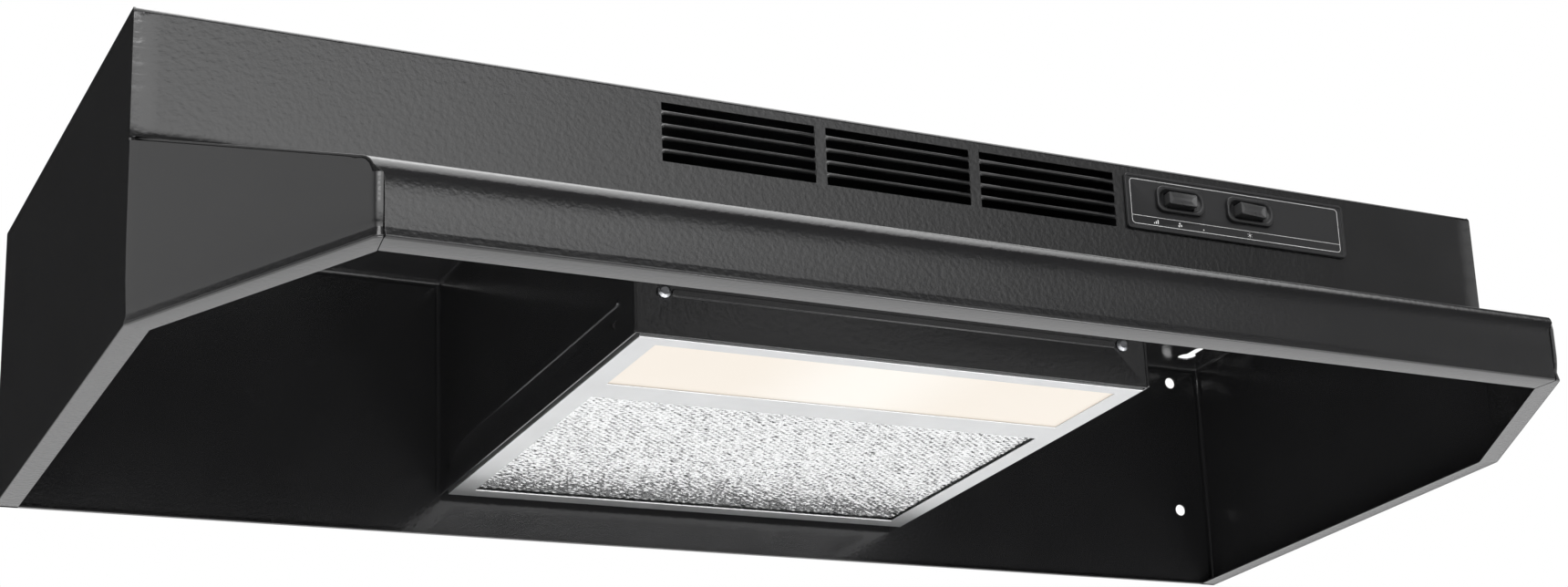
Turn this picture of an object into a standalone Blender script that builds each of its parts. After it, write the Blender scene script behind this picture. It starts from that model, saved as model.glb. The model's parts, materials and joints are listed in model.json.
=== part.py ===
"""An under cabinet range hood, 30 inches wide, that filters the air and blows it back into the room.

It is a folded sheet-steel canopy around a central box. The box holds a motor and fan over a filter
frame, and a lamp over the lens at the frame's front. Two rockers in a switch plate work them.

Metres. +Z is up, +Y is towards the wall, and X runs along the hood. The origin is under the middle of
the hood, level with its rim. What touches in the real hood is GAP apart here.
"""
import math

import bmesh
import bpy
from mathutils import Vector

# The canopy
WIDTH = 0.762                 # across the two sides
DEPTH = 0.4445                # wall to lip
HEIGHT = 0.1524               # rim to cabinet
BODY_DEPTH = 0.3048           # wall to front panel
MITRE = 0.0685                # a mitred corner takes this much of the width
SHEET = 0.001                 # steel sheet
GAP = 0.0003                  # between pieces that touch
PANEL_HEIGHT = 0.0639         # the front panel shows this much above the visor
LIP_FACE = 0.029              # straight height of the lip's face
LIP_ROUND = 0.010             # outside radius of the lip's top bend
HEM_SIDE = 0.0115             # rim turned in along the sides
HEM_LIP = 0.0155              # rim turned in along the lip
HEM_BACK = 0.0025             # rim turned in along the wall
RETURN = 0.012                # flanges that stiffen the other panels
VISOR_FLANGE = 0.0195         # rise of the visor's flange behind the front panel

# Louvers in the front panel
BANKS = 3
BANK_WIDTH = 0.0832
BANK_GAP = 0.0063             # between two banks
BANK_CENTRE = 0.0008          # the banks' middle, along X
SLOTS = 5
LOUVER_DOWN = 0.0069          # highest slot, below the top
LOUVER_HEIGHT = 0.0315        # a bank, from its lowest slot to its highest
BLADE = 0.0026                # strip left between two slots

# Switch plate and switches
PLATE_GAP = 0.0064            # from the last bank to the plate
PLATE_DOWN = 0.0224           # the plate's middle, below the top
PLATE_WIDTH, PLATE_HEIGHT, PLATE_THICK = 0.147, 0.032, 0.0012
PLATE_CORNER = 0.0022
PLATE_RIM, PLATE_RIM_RISE = 0.0014, 0.0006
SWITCH_OFFSET = {"fan": -0.0388, "light": 0.0077}   # along X from the plate's middle
SWITCH_UP = 0.0032            # above the plate's middle
SWITCH_WIDTH, SWITCH_HEIGHT, SWITCH_DEPTH = 0.0262, 0.0112, 0.022
BEZEL_LAP_X, BEZEL_LAP_Z, BEZEL_THICK = 0.00245, 0.00195, 0.0022
BEZEL_CORNER = 0.0045
CASE_FIT = 0.0004             # around a switch in its hole
WELL_DEPTH = 0.0125           # behind the bezel's face
ROCKER_WIDTH, ROCKER_HEIGHT = 0.0185, 0.0070
ROCKER_RISE = 0.0030          # a rocker's ends stand this far out of the bezel
ROCKER_DISH = 0.0016          # and its middle is this much lower
ROCKER_PIVOT = 0.0030         # its axis is this far behind the bezel's face
ROCKER_HEEL = 0.0045          # its narrow end is this far behind the axis
ROCKER_TAPER = 0.62           # and this share of its width
ROCKER_EDGE = 0.0006          # blunt edge at the ends of the dish
ROCKER_ROOM, ROCKER_SWING = 0.0004, 0.0008   # round a rocker, and past its ends
ROCKER_REST = {"fan": 0.0, "light": 6.0}   # degrees about +Z
TERMINALS = {"fan": 3, "light": 2}
TERMINAL_PITCH = 0.0085
TERMINAL_WIDTH, TERMINAL_THICK, TERMINAL_LENGTH = 0.0048, 0.0008, 0.008

# The filter frame with its pads and lens
FRAME_WIDTH = 0.286
FRAME_THICK = 0.0095
FRAME_BOTTOM = 0.0220
FRAME_SKIN = 0.0008
FRAME_BACK = 0.0085           # from the wall
FRAME_FIT = 0.0004            # before the box's front wall
RAIL_FRONT = 0.010
RAIL_SIDE = 0.012
RAIL_BACK = 0.012
RAIL_CROSS = 0.022
LENS_DEPTH = 0.065
LENS_THICK = 0.0020
PAD_TUCK = 0.0070             # pads and lens reach this far into the rails
MESH_THICK = 0.0030
CHARCOAL_THICK = 0.0038
SPRING_X, SPRING_WIDTH, SPRING_SHEET = 0.0750, 0.0120, 0.0005
SPRING_RISE, SPRING_BEND, SPRING_REACH = 0.0200, 0.0060, 0.0085

# The central box
BOX_WALL = 0.0013             # from the frame to the inside of the box's walls
BOX_BOTTOM = 0.0235
BOX_UNDER_LOUVERS = 0.0055    # the front wall stops this far under the louvers
RIB_WIDTH, RIB_RISE = 0.0036, 0.0009
RIB_UP = 0.0145               # above the frame
SIDE_RIB_MARGIN = (0.021, 0.031)   # from the box's front and from the wall
TAB_UP, TAB_LENGTH, TAB_REACH, TAB_DROP = 0.0060, 0.008, 0.006, 0.004
TAB_MARGIN = (0.0285, 0.0185)      # from the box's front and from the wall
SCREW_MARGIN = 0.0150         # the front wall's screws, in from its ends
FLANGE_UP = 0.0024            # the front wall's side flanges start this far above the frame

# Fan
ORIFICE_UP = 0.0285           # the orifice plate, above the frame
ORIFICE_COLLAR = 0.0100
FAN_FROM_WALL = 0.1080
FAN_RADIUS = 0.0800
FAN_CLEAR = 0.0055            # blade tips to the orifice
FAN_UP = 0.0060               # the fan's middle, above the orifice plate
BLADES = 5
BLADE_SPAN = 46.0             # degrees round the hub
BLADE_CLIMB = 0.0180          # rise of a blade from edge to edge at its tip
BLADE_CROWN = 0.0030          # and its bulge between the edges
HUB_RADIUS, HUB_HEIGHT = 0.0180, 0.0140
SHAFT_RADIUS = 0.00238
SHAFT_FIT = 0.00007           # running clearance in the bearings
SHAFT_BELOW_HUB = 0.0060
CLIP_RADIUS, CLIP_THICK = 0.0065, 0.0028

# Motor
BRACKET_UP = 0.0380           # above the orifice plate
BRACKET_CLEAR = 0.0135        # from the orifice's collar to the bracket's legs
BRACKET_FOOT = 0.0180
BRACKET_WIDTH = 0.0360
BRACKET_SHEET = 0.0012
STACK_UP, STACK_THICK = 0.0150, 0.0190   # the laminations, above the bracket
STACK_WIDTH = 0.0640
STACK_NEAR, STACK_FAR = 0.0210, 0.0560   # stack edges before and behind the shaft
WINDOW_NEAR, WINDOW_FAR = 0.0230, 0.0410
WINDOW_HALF = 0.0190
ROTOR_RADIUS, AIR_GAP = 0.0128, 0.0005
COIL_BUILD = 0.0085
BEARING_RADIUS, BEARING_LENGTH = 0.0060, 0.0075
CUP_WALL = 0.0012
END_WIDTH, END_SHEET = 0.0200, 0.0015
BOLT_OFFSET = 0.0250          # motor bolts, left and right of the shaft
BOLT_PAST = 0.0070            # a bolt's end, below the bracket
NUT_RADIUS, NUT_THICK = 0.0042, 0.0030
SPACER_RADIUS = 0.0045

# Lamp
LAMP_ROOM = 0.0635            # height of the lamp's trough above the frame
LAMP_UP = 0.0325              # the bulb's axis, above the frame
SOCKET_X = 0.0980             # the socket's back
SOCKET_LENGTH, SOCKET_RADIUS, SOCKET_FLOOR = 0.0360, 0.0165, 0.0060
SOCKET_PLATE_HEIGHT = 0.0460
BULB_RADIUS, BULB_LENGTH, BULB_NECK = 0.0240, 0.0800, 0.0100
CAP_RADIUS, CAP_LENGTH = 0.0130, 0.0240
CAP_SHOULDER, CAP_NOSE = 0.0040, 0.0020   # from the cap's contact

# Wiring
COVER_HEIGHT, COVER_LENGTH, COVER_DEPTH = 0.0511, 0.1560, 0.0620
COVER_EAR = 0.0120
EAR_FAR, EAR_NEAR = 0.0300, 0.0120   # the ear's ends, before the cover's rear
GROUND_PLACE = (0.0300, 0.0450)      # the ground screw, from the box's side and front
LEAD_RADIUS = 0.0016
BUSHING_RADIUS, BUSHING_UP, BUSHING_BEHIND = 0.0065, 0.0180, 0.0450
BUSHING_LIP, BUSHING_LIP_THICK = 0.0020, 0.0015
BUSHING_ROOM = 0.0012         # round the lead
KNOCKOUT_RADIUS = 0.0111
KNOCKOUT_PLACE = (0.0844, 0.0300)    # from the box's side and front

# Fixings
FIXING_MARGIN = 0.0230        # keyholes and wall holes, in from the sides
KEYHOLE_BACK, KEYHOLE_FRONT = 0.0245, 0.0448   # from the wall and from the front panel
KEYHOLE_RADIUS, KEYHOLE_SLOT, KEYHOLE_LENGTH = 0.0062, 0.0032, 0.0185
WALL_HOLE_RADIUS = 0.0038
WALL_HOLE_UP, WALL_HOLE_DOWN = 0.0504, 0.0124  # from the rim and from the top
SCREW_HEAD, SCREW_HEAD_RISE = 0.0036, 0.0022
SCREW_SHANK, SCREW_LENGTH = 0.0017, 0.0065
SCREW_FIT = 0.0004
MARGIN = 0.010                # cutters run this far past what they cut

# Places along Y
WALL_Y = DEPTH / 2
LIP_Y = -DEPTH / 2
BODY_Y = WALL_Y - BODY_DEPTH
SEAT_Y = BODY_Y + SHEET + GAP            # first plane behind the front panel
BOX_Y = SEAT_Y + SHEET + GAP             # outside of the box's front wall
BOX_INNER_Y = BOX_Y + SHEET + GAP        # just behind that wall
INNER_Y = WALL_Y - SHEET - GAP           # just in front of the back panel
PLATE_Y = BODY_Y - GAP - PLATE_THICK     # the switch plate's face
BEZEL_Y = PLATE_Y - GAP - BEZEL_THICK    # the bezels' face
ROCKER_Y = BEZEL_Y + ROCKER_PIVOT
FRAME_FRONT = BOX_Y + SHEET + FRAME_FIT
FRAME_REAR = WALL_Y - FRAME_BACK
LENS_FRONT = FRAME_FRONT + RAIL_FRONT
LENS_REAR = LENS_FRONT + LENS_DEPTH
LENS_MIDDLE = (LENS_FRONT + LENS_REAR) / 2
LAMP_REAR = LENS_REAR + RAIL_CROSS / 2
MESH_FRONT = LENS_REAR + RAIL_CROSS
MESH_REAR = FRAME_REAR - RAIL_BACK
FAN_Y = WALL_Y - FAN_FROM_WALL

# Places along Z
UNDER_TOP = HEIGHT - SHEET - GAP         # just under the top panel
VISOR_TOP = HEIGHT - PANEL_HEIGHT        # where the visor leaves the front panel
SLOT_HIGH = HEIGHT - LOUVER_DOWN
SLOT_LOW = SLOT_HIGH - LOUVER_HEIGHT
BOX_FRONT_TOP = SLOT_LOW - BOX_UNDER_LOUVERS
PLATE_Z = HEIGHT - PLATE_DOWN
SWITCH_Z = PLATE_Z + SWITCH_UP
COVER_FLOOR = UNDER_TOP - COVER_HEIGHT
FRAME_TOP = FRAME_BOTTOM + FRAME_THICK
TAB_Z = FRAME_TOP + TAB_UP
RIB_Z = FRAME_TOP + RIB_UP
LAMP_TOP = FRAME_TOP + LAMP_ROOM
LAMP_Z = FRAME_TOP + LAMP_UP
ORIFICE_Z = FRAME_TOP + ORIFICE_UP
FAN_Z = ORIFICE_Z + FAN_UP
BRACKET_Z = ORIFICE_Z + BRACKET_UP
STACK_Z = BRACKET_Z + STACK_UP

# Places along X
INNER_X = WIDTH / 2 - SHEET - GAP        # just inside the side panels
LIP_X = WIDTH / 2 - MITRE                # the lip's end
FIXING_X = WIDTH / 2 - FIXING_MARGIN
WINDOW_X = FRAME_WIDTH / 2 - RAIL_SIDE
BOX_INNER = FRAME_WIDTH / 2 + BOX_WALL   # just inside the box's walls
BOX_X = BOX_INNER + SHEET + GAP          # outside of the box's side walls
LOUVERS_RIGHT = BANK_CENTRE + (BANKS * BANK_WIDTH + (BANKS - 1) * BANK_GAP) / 2
PLATE_X = LOUVERS_RIGHT + PLATE_GAP + PLATE_WIDTH / 2
SWITCH_X = {kind: PLATE_X + offset for kind, offset in SWITCH_OFFSET.items()}
BRACKET_LEG = FAN_RADIUS + FAN_CLEAR + SHEET + BRACKET_CLEAR
COVER_LEFT = BOX_X + 2 * GAP
LAMP_X = SOCKET_X - SOCKET_LENGTH        # the socket's mouth

# The visor's slope, which meets the lip's round at a tangent
SLOPE = math.atan2(VISOR_TOP - LIP_FACE, BODY_Y - LIP_Y - LIP_ROUND)
SLOPE -= math.asin(LIP_ROUND / math.hypot(VISOR_TOP - LIP_FACE, BODY_Y - LIP_Y - LIP_ROUND))

for old in list(bpy.data.objects):
    bpy.data.objects.remove(old, do_unlink=True)


def collection(name):
    made = bpy.data.collections.new(name)
    bpy.context.scene.collection.children.link(made)
    return made


HOOD = collection("under_cabinet_range_hood")
CUTTERS = collection("cutters")


def finish(name, colour, roughness, metallic=0.0):
    """A material with one Principled BSDF."""
    made = bpy.data.materials.new(name)
    made.use_nodes = True
    shader = made.node_tree.nodes["Principled BSDF"]
    shader.inputs["Base Color"].default_value = (*colour, 1.0)
    shader.inputs["Roughness"].default_value = roughness
    shader.inputs["Metallic"].default_value = metallic
    return made


PAINT = finish("black_enamel", (0.012, 0.012, 0.013), 0.22)
PLASTIC = finish("black_plastic", (0.020, 0.020, 0.021), 0.35)
ALUMINIUM = finish("rolled_aluminium", (0.80, 0.81, 0.82), 0.28, 1.0)
FOIL = finish("expanded_foil", (0.86, 0.87, 0.88), 0.25, 1.0)
ZINC = finish("zinc_steel", (0.62, 0.63, 0.65), 0.35, 1.0)
LAMINATION = finish("lamination_steel", (0.28, 0.28, 0.30), 0.45, 1.0)
COPPER = finish("enamelled_copper", (0.55, 0.22, 0.08), 0.30, 1.0)
BRONZE = finish("sintered_bronze", (0.50, 0.36, 0.16), 0.50, 1.0)
BRASS = finish("brass", (0.78, 0.60, 0.25), 0.25, 1.0)
LENS = finish("frosted_lens", (0.96, 0.92, 0.84), 0.35)
GLASS = finish("frosted_glass", (0.95, 0.94, 0.90), 0.20)
CERAMIC = finish("white_ceramic", (0.85, 0.84, 0.80), 0.30)
CARBON = finish("carbon_felt", (0.025, 0.025, 0.025), 0.90)
RUBBER = finish("rubber", (0.02, 0.02, 0.02), 0.70)


# Outlines, as lists of 2D points

def arc(centre, radius, start, end, steps):
    """Points along an arc, angles in degrees."""
    angles = (math.radians(start + (end - start) * i / steps) for i in range(steps + 1))
    return [(centre[0] + radius * math.cos(a), centre[1] + radius * math.sin(a)) for a in angles]


def offset_line(points, distance):
    """The open line moved to its left by distance, with mitred corners."""
    moved = []
    for i, point in enumerate(points):
        ways = []
        if i > 0:
            ways.append((Vector(point) - Vector(points[i - 1])).normalized())
        if i < len(points) - 1:
            ways.append((Vector(points[i + 1]) - Vector(point)).normalized())
        lefts = [Vector((-way.y, way.x)) for way in ways]
        middle = sum(lefts, Vector((0, 0))).normalized()
        moved.append(tuple(Vector(point) + middle * (distance / middle.dot(lefts[0]))))
    return moved


def strip(points, thickness):
    """The outline of a bent sheet: a line, and the same line moved to its left."""
    return list(points) + offset_line(points, thickness)[::-1]


def rectangle(low, high):
    return [low, (high[0], low[1]), high, (low[0], high[1])]


def rounded(centre, width, height, radius, steps=4):
    """A rectangle with round corners."""
    x, y = width / 2 - radius, height / 2 - radius
    corners = ((x, y, 0), (-x, y, 90), (-x, -y, 180), (x, -y, 270))
    points = []
    for dx, dy, start in corners:
        points += arc((centre[0] + dx, centre[1] + dy), radius, start, start + 90, steps)
    return points


def mirrored(points, side):
    return [(side * x, y) for x, y in points]


def x_on(first, second, y):
    """Where the line through two points has this y."""
    return first[0] + (second[0] - first[0]) * (y - first[1]) / (second[1] - first[1])


# Solids

PLACES = {
    "X": lambda u, v, w: (w, u, v),
    "Y": lambda u, v, w: (u, w, v),
    "Z": lambda u, v, w: (u, v, w),
}


def add_object(name, mesh, material):
    """Links a mesh in the hood, or among the cutters where it has no material."""
    made = bpy.data.objects.new(name, mesh)
    if material is None:
        CUTTERS.objects.link(made)
        made.hide_render = True
        made.display_type = "WIRE"
    else:
        HOOD.objects.link(made)
        mesh.materials.append(material)
    return made


def add_mesh(name, bm, material):
    bmesh.ops.recalc_face_normals(bm, faces=bm.faces)
    mesh = bpy.data.meshes.new(name)
    bm.to_mesh(mesh)
    bm.free()
    return add_object(name, mesh, material)


def prism(name, outline, axis, low, high, material=None):
    """A flat outline drawn out along an axis. Its points are (Y, Z), (X, Z) or (X, Y)."""
    place = PLACES[axis]
    bm = bmesh.new()
    face = bm.faces.new([bm.verts.new(place(u, v, low)) for u, v in outline])
    drawn = bmesh.ops.extrude_face_region(bm, geom=[face])["geom"]
    ends = [item for item in drawn if isinstance(item, bmesh.types.BMVert)]
    bmesh.ops.translate(bm, vec=place(0, 0, high - low), verts=ends)
    return add_mesh(name, bm, material)


def boxes(name, corners, material=None):
    """One mesh of boxes, each given by its lowest and highest corner."""
    bm = bmesh.new()
    for low, high in corners:
        low, high = Vector(low), Vector(high)
        cube = bmesh.ops.create_cube(bm, size=1)["verts"]
        bmesh.ops.scale(bm, vec=high - low, verts=cube)
        bmesh.ops.translate(bm, vec=(low + high) / 2, verts=cube)
    return add_mesh(name, bm, material)


def box(name, low, high, material=None):
    return boxes(name, [(low, high)], material)


def turned(name, profile, place, material=None, axis=(0, 0, 1), steps=24, ring=False):
    """A profile of (radius, height) points, run down its outer side, spun round an axis."""
    count = len(profile)
    edges = [(i, i + 1) for i in range(count - 1)]
    if ring:
        edges.append((count - 1, 0))
    mesh = bpy.data.meshes.new(name)
    mesh.from_pydata([(r, 0, z) for r, z in profile], edges, [])
    made = add_object(name, mesh, material)
    made.location = place
    made.rotation_mode = "QUATERNION"
    made.rotation_quaternion = Vector(axis).to_track_quat("Z", "Y")
    spin = made.modifiers.new("spin", "SCREW")
    spin.steps = spin.render_steps = steps
    spin.use_merge_vertices = True
    spin.merge_threshold = 0.00001
    spin.use_smooth_shade = False
    return made


def cylinder(name, radius, low, high, place, material=None, axis=(0, 0, 1), steps=24):
    """A solid cylinder between two heights along its axis."""
    return turned(name, [(0, high), (radius, high), (radius, low), (0, low)], place, material, axis, steps)


def tube(name, outer, inner, low, high, place, material=None, axis=(0, 0, 1), steps=24):
    """A ring between two heights. The flats of its bore, not its corners, are inner from the axis."""
    inner /= math.cos(math.pi / steps)
    profile = [(outer, high), (outer, low), (inner, low), (inner, high)]
    return turned(name, profile, place, material, axis, steps, ring=True)


def combine(base, others, operation):
    """Adds or removes other solids with Booleans, and puts them among the cutters."""
    for other in others:
        if other.name in HOOD.objects:
            HOOD.objects.unlink(other)
            CUTTERS.objects.link(other)
            other.hide_render = True
            other.display_type = "WIRE"
        step = base.modifiers.new(operation.lower(), "BOOLEAN")
        step.operation = operation
        step.object = other
        step.solver = "EXACT"
    return base


def join(base, *others):
    return combine(base, others, "UNION")


def cut(base, *others):
    return combine(base, others, "DIFFERENCE")


def screw(name, seat, axis, through, head=SCREW_HEAD, shank=SCREW_SHANK, length=SCREW_LENGTH):
    """A pan-head screw whose head stands along axis from its seat, and its holes in what it goes through."""
    rise = SCREW_HEAD_RISE
    profile = [(0, rise), (head * 0.6, rise), (head, rise * 0.45), (head, 0)]
    profile += [(shank, 0), (shank, -length), (0, -length)]
    place = Vector(seat) + Vector(axis) * GAP
    hole = cylinder(name + "_hole", shank + SCREW_FIT, -length - MARGIN / 2, rise, place, axis=axis, steps=12)
    for piece in through:
        cut(piece, hole)
    return turned(name, profile, place, ZINC, axis, steps=12)


# The canopy

def visor_line(inset=0.0):
    """The lip's round and face, from the visor's slope to the rim, moved in by inset."""
    round_centre = (LIP_Y + LIP_ROUND, LIP_FACE)
    return arc(round_centre, LIP_ROUND - inset, 90 + math.degrees(SLOPE), 180, 6)


def slope_z(y, inset=0.0):
    """Height of the visor's slope at y, or of the line that lies inset below it."""
    return VISOR_TOP + (y - BODY_Y) * math.tan(SLOPE) - inset / math.cos(SLOPE)


def corner_points():
    """Outer and inner corner of the rim where the lip meets a mitre, on the right."""
    bend, lip = (WIDTH / 2, BODY_Y), (LIP_X, LIP_Y)
    inner_bend, inner_lip = offset_line([(WIDTH / 2, WALL_Y), bend, lip], -HEM_SIDE)[1:]
    inner_y = LIP_Y + HEM_LIP
    return lip, (x_on(inner_bend, inner_lip, inner_y), inner_y), inner_bend


def make_visor():
    lip, inner, _ = corner_points()
    flange = [(SEAT_Y, VISOR_TOP + VISOR_FLANGE), (SEAT_Y, slope_z(SEAT_Y))]
    skin = flange + visor_line() + [(LIP_Y, 0.0)]
    visor = prism("visor", strip(skin, SHEET), "X", -WIDTH / 2, WIDTH / 2, PAINT)
    for side in (-1, 1):
        reach = x_on((WIDTH / 2, BODY_Y), lip, LIP_Y - MARGIN)
        beyond = WIDTH / 2 + MARGIN
        rear = BODY_Y + SHEET + MARGIN
        wedge = [(WIDTH / 2, BODY_Y), (reach, LIP_Y - MARGIN), (beyond, LIP_Y - MARGIN), (beyond, rear)]
        wedge.append((WIDTH / 2, rear))
        cut(visor, prism(f"mitre_cutter_{side}", mirrored(wedge, side), "Z", -MARGIN, HEIGHT))
        low_x, high_x = sorted((side * (INNER_X - SHEET - GAP), side * beyond))
        cut(visor, box(f"flange_end_{side}", (low_x, BODY_Y + SHEET, 0), (high_x, rear, HEIGHT)))
    hem = [(-lip[0], LIP_Y), lip, inner, (-inner[0], inner[1])]
    join(visor, prism("visor_hem", hem, "Z", 0, SHEET))
    return visor


def canopy_cutter():
    """The space that the visor and the front panel take from the side panels."""
    inset = SHEET + GAP
    points = [(SEAT_Y, HEIGHT + MARGIN), (SEAT_Y, slope_z(SEAT_Y, inset))] + visor_line(inset)
    points += [(LIP_Y + inset, -MARGIN), (LIP_Y - MARGIN, -MARGIN), (LIP_Y - MARGIN, HEIGHT + MARGIN)]
    return prism("visor_space", points, "X", -WIDTH, WIDTH)


def hem_cutter():
    """The space of the visor's hem, with a gap round it."""
    lip, inner, _ = corner_points()
    front, rear = LIP_Y - MARGIN, LIP_Y + HEM_LIP + GAP
    clear = 1.1 * GAP
    wide, narrow = x_on(lip, inner, front) + clear, x_on(lip, inner, rear) + clear
    points = [(-wide, front), (wide, front), (narrow, rear), (-narrow, rear)]
    return prism("visor_hem_space", points, "Z", -MARGIN, SHEET + GAP)


def make_side_panel(name, side, spaces):
    """A side and its mitred corner, bent from one sheet, with the rim turned in under them."""
    lip, inner, inner_bend = corner_points()
    line = [(WIDTH / 2, WALL_Y), (WIDTH / 2, BODY_Y), lip]
    panel = prism(name, mirrored(strip(line, -SHEET), side), "Z", 0, HEIGHT, PAINT)
    rear = WALL_Y - HEM_BACK - GAP
    hem = [(WIDTH / 2, rear), (WIDTH / 2, BODY_Y), lip, inner, inner_bend, (WIDTH / 2 - HEM_SIDE, rear)]
    join(panel, prism(name + "_hem", mirrored(hem, side), "Z", 0, SHEET))
    cut(panel, *spaces)
    outer, edge = side * WIDTH / 2, side * (WIDTH / 2 - RETURN)
    low = (min(outer, edge), BODY_Y + RETURN + GAP, UNDER_TOP - SHEET)
    high = (max(outer, edge), INNER_Y, UNDER_TOP)
    return join(panel, box(name + "_flange", low, high))


def make_front_panel():
    """The upper front, with its louvers, holes for the switches, and three flanges turned back."""
    bottom = slope_z(BODY_Y + SHEET) + GAP
    outline = rectangle((-WIDTH / 2, bottom), (WIDTH / 2, HEIGHT))
    panel = prism("front_panel", outline, "Y", BODY_Y, BODY_Y + SHEET, PAINT)
    flanges = [((-INNER_X, BODY_Y, HEIGHT - SHEET), (INNER_X, BODY_Y + RETURN, HEIGHT))]
    for low in (-INNER_X, INNER_X - SHEET):
        flanges.append(((low, BODY_Y, bottom), (low + SHEET, BODY_Y + RETURN, HEIGHT)))
    for i, (low, high) in enumerate(flanges):
        join(panel, box(f"front_flange_{i}", low, high))
    slot = (SLOT_HIGH - SLOT_LOW - (SLOTS - 1) * BLADE) / SLOTS
    holes = []
    for bank in range(BANKS):
        left = LOUVERS_RIGHT - BANK_WIDTH - bank * (BANK_WIDTH + BANK_GAP)
        for row in range(SLOTS):
            low = SLOT_LOW + row * (slot + BLADE)
            holes.append(((left, BODY_Y - MARGIN, low), (left + BANK_WIDTH, SEAT_Y, low + slot)))
    return cut(panel, boxes("louver_slots", holes), switch_holes())


def switch_holes():
    """Holes for the switch cases, which the front panel and the switch plate share."""
    half_x, half_z = SWITCH_WIDTH / 2 + CASE_FIT, SWITCH_HEIGHT / 2 + CASE_FIT
    holes = []
    for x in SWITCH_X.values():
        low = (x - half_x, BEZEL_Y - MARGIN, SWITCH_Z - half_z)
        holes.append((low, (x + half_x, SEAT_Y, SWITCH_Z + half_z)))
    return boxes("switch_holes", holes)


def make_top_panel():
    """The flat top, with four keyholes for the cabinet screws and a knockout for the supply cable."""
    low = (-INNER_X, BODY_Y + RETURN + GAP, HEIGHT - SHEET)
    panel = box("top_panel", low, (INNER_X, INNER_Y, HEIGHT), PAINT)
    floor, top = HEIGHT - SHEET - MARGIN, HEIGHT + MARGIN
    for x in (-FIXING_X, FIXING_X):
        for y in (WALL_Y - KEYHOLE_BACK, BODY_Y + KEYHOLE_FRONT):
            end = y - KEYHOLE_LENGTH + KEYHOLE_SLOT
            slot = [(x + KEYHOLE_SLOT, y), (x - KEYHOLE_SLOT, y)] + arc((x, end), KEYHOLE_SLOT, 180, 360, 6)
            round_end = cylinder("keyhole", KEYHOLE_RADIUS, floor, top, (x, y, 0))
            cut(panel, round_end, prism("keyhole_slot", slot, "Z", floor, top))
    place = (BOX_X + KNOCKOUT_PLACE[0], BOX_Y + KNOCKOUT_PLACE[1], 0)
    cylinder("wiring_knockout", KNOCKOUT_RADIUS, HEIGHT - SHEET, HEIGHT, place, ZINC)
    return cut(panel, cylinder("knockout_hole", KNOCKOUT_RADIUS + GAP, floor, top, place))


def make_back_panel():
    line = [(WALL_Y, HEIGHT), (WALL_Y, 0.0), (WALL_Y - HEM_BACK, 0.0)]
    panel = prism("back_panel", strip(line, -SHEET), "X", -INNER_X, INNER_X, PAINT)
    for x in (-FIXING_X, FIXING_X):
        for z in (WALL_HOLE_UP, HEIGHT - WALL_HOLE_DOWN):
            place = (x, WALL_Y, z)
            cut(panel, cylinder("wall_hole", WALL_HOLE_RADIUS, -MARGIN, MARGIN, place, axis=(0, 1, 0)))
    return panel


# The central box

def capsule(low, high, middle, width):
    """A bar with round ends, from low to high along its first axis."""
    half = width / 2
    return arc((high - half, middle), half, -90, 90, 5) + arc((low + half, middle), half, 90, 270, 5)


def make_box_side(name, side):
    """A side wall of the box, with a raised rib and two lanced tabs over the filter frame."""
    face = side * BOX_X
    inside = face - side * SHEET
    low_x, high_x = sorted((face, inside))
    wall = box(name, (low_x, BOX_INNER_Y, BOX_BOTTOM), (high_x, INNER_Y, UNDER_TOP), PAINT)
    rib = capsule(BOX_Y + SIDE_RIB_MARGIN[0], WALL_Y - SIDE_RIB_MARGIN[1], RIB_Z, RIB_WIDTH)
    rib_low, rib_high = sorted((inside + side * SHEET / 2, face + side * RIB_RISE))
    join(wall, prism(name + "_rib", rib, "X", rib_low, rib_high))
    for i, y in enumerate((BOX_Y + TAB_MARGIN[0], WALL_Y - TAB_MARGIN[1])):
        hole = [(y - TAB_LENGTH / 2, TAB_Z), (y + TAB_LENGTH / 2, TAB_Z), (y, TAB_Z - TAB_DROP)]
        reach_low, reach_high = sorted((face - side * SHEET / 2, face - side * TAB_REACH))
        low = (reach_low, y - TAB_LENGTH / 2, TAB_Z)
        high = (reach_high, y + TAB_LENGTH / 2, TAB_Z + SHEET)
        cut(wall, prism(f"{name}_lance_{i}", hole, "X", low_x - MARGIN, high_x + MARGIN))
        join(wall, box(f"{name}_tab_{i}", low, high))
    return wall


def make_box_front():
    """The front wall, which closes the box under the louvers."""
    outline = rectangle((-BOX_X, BOX_BOTTOM), (BOX_X, BOX_FRONT_TOP))
    wall = prism("fan_box_front", outline, "Y", BOX_Y, BOX_Y + SHEET, PAINT)
    reach = BOX_X - SCREW_MARGIN - SCREW_HEAD - 2 * GAP
    rib = capsule(-reach, reach, RIB_Z, RIB_WIDTH)
    join(wall, prism("front_rib", rib, "Y", BOX_Y - RIB_RISE, BOX_Y + SHEET / 2))
    for side in (-1, 1):
        low_x, high_x = sorted((side * BOX_INNER, side * (BOX_INNER - SHEET)))
        low = (low_x, BOX_Y, FRAME_TOP + FLANGE_UP)
        join(wall, box(f"front_wall_flange_{side}", low, (high_x, BOX_Y + RETURN, BOX_FRONT_TOP)))
    return wall


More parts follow.
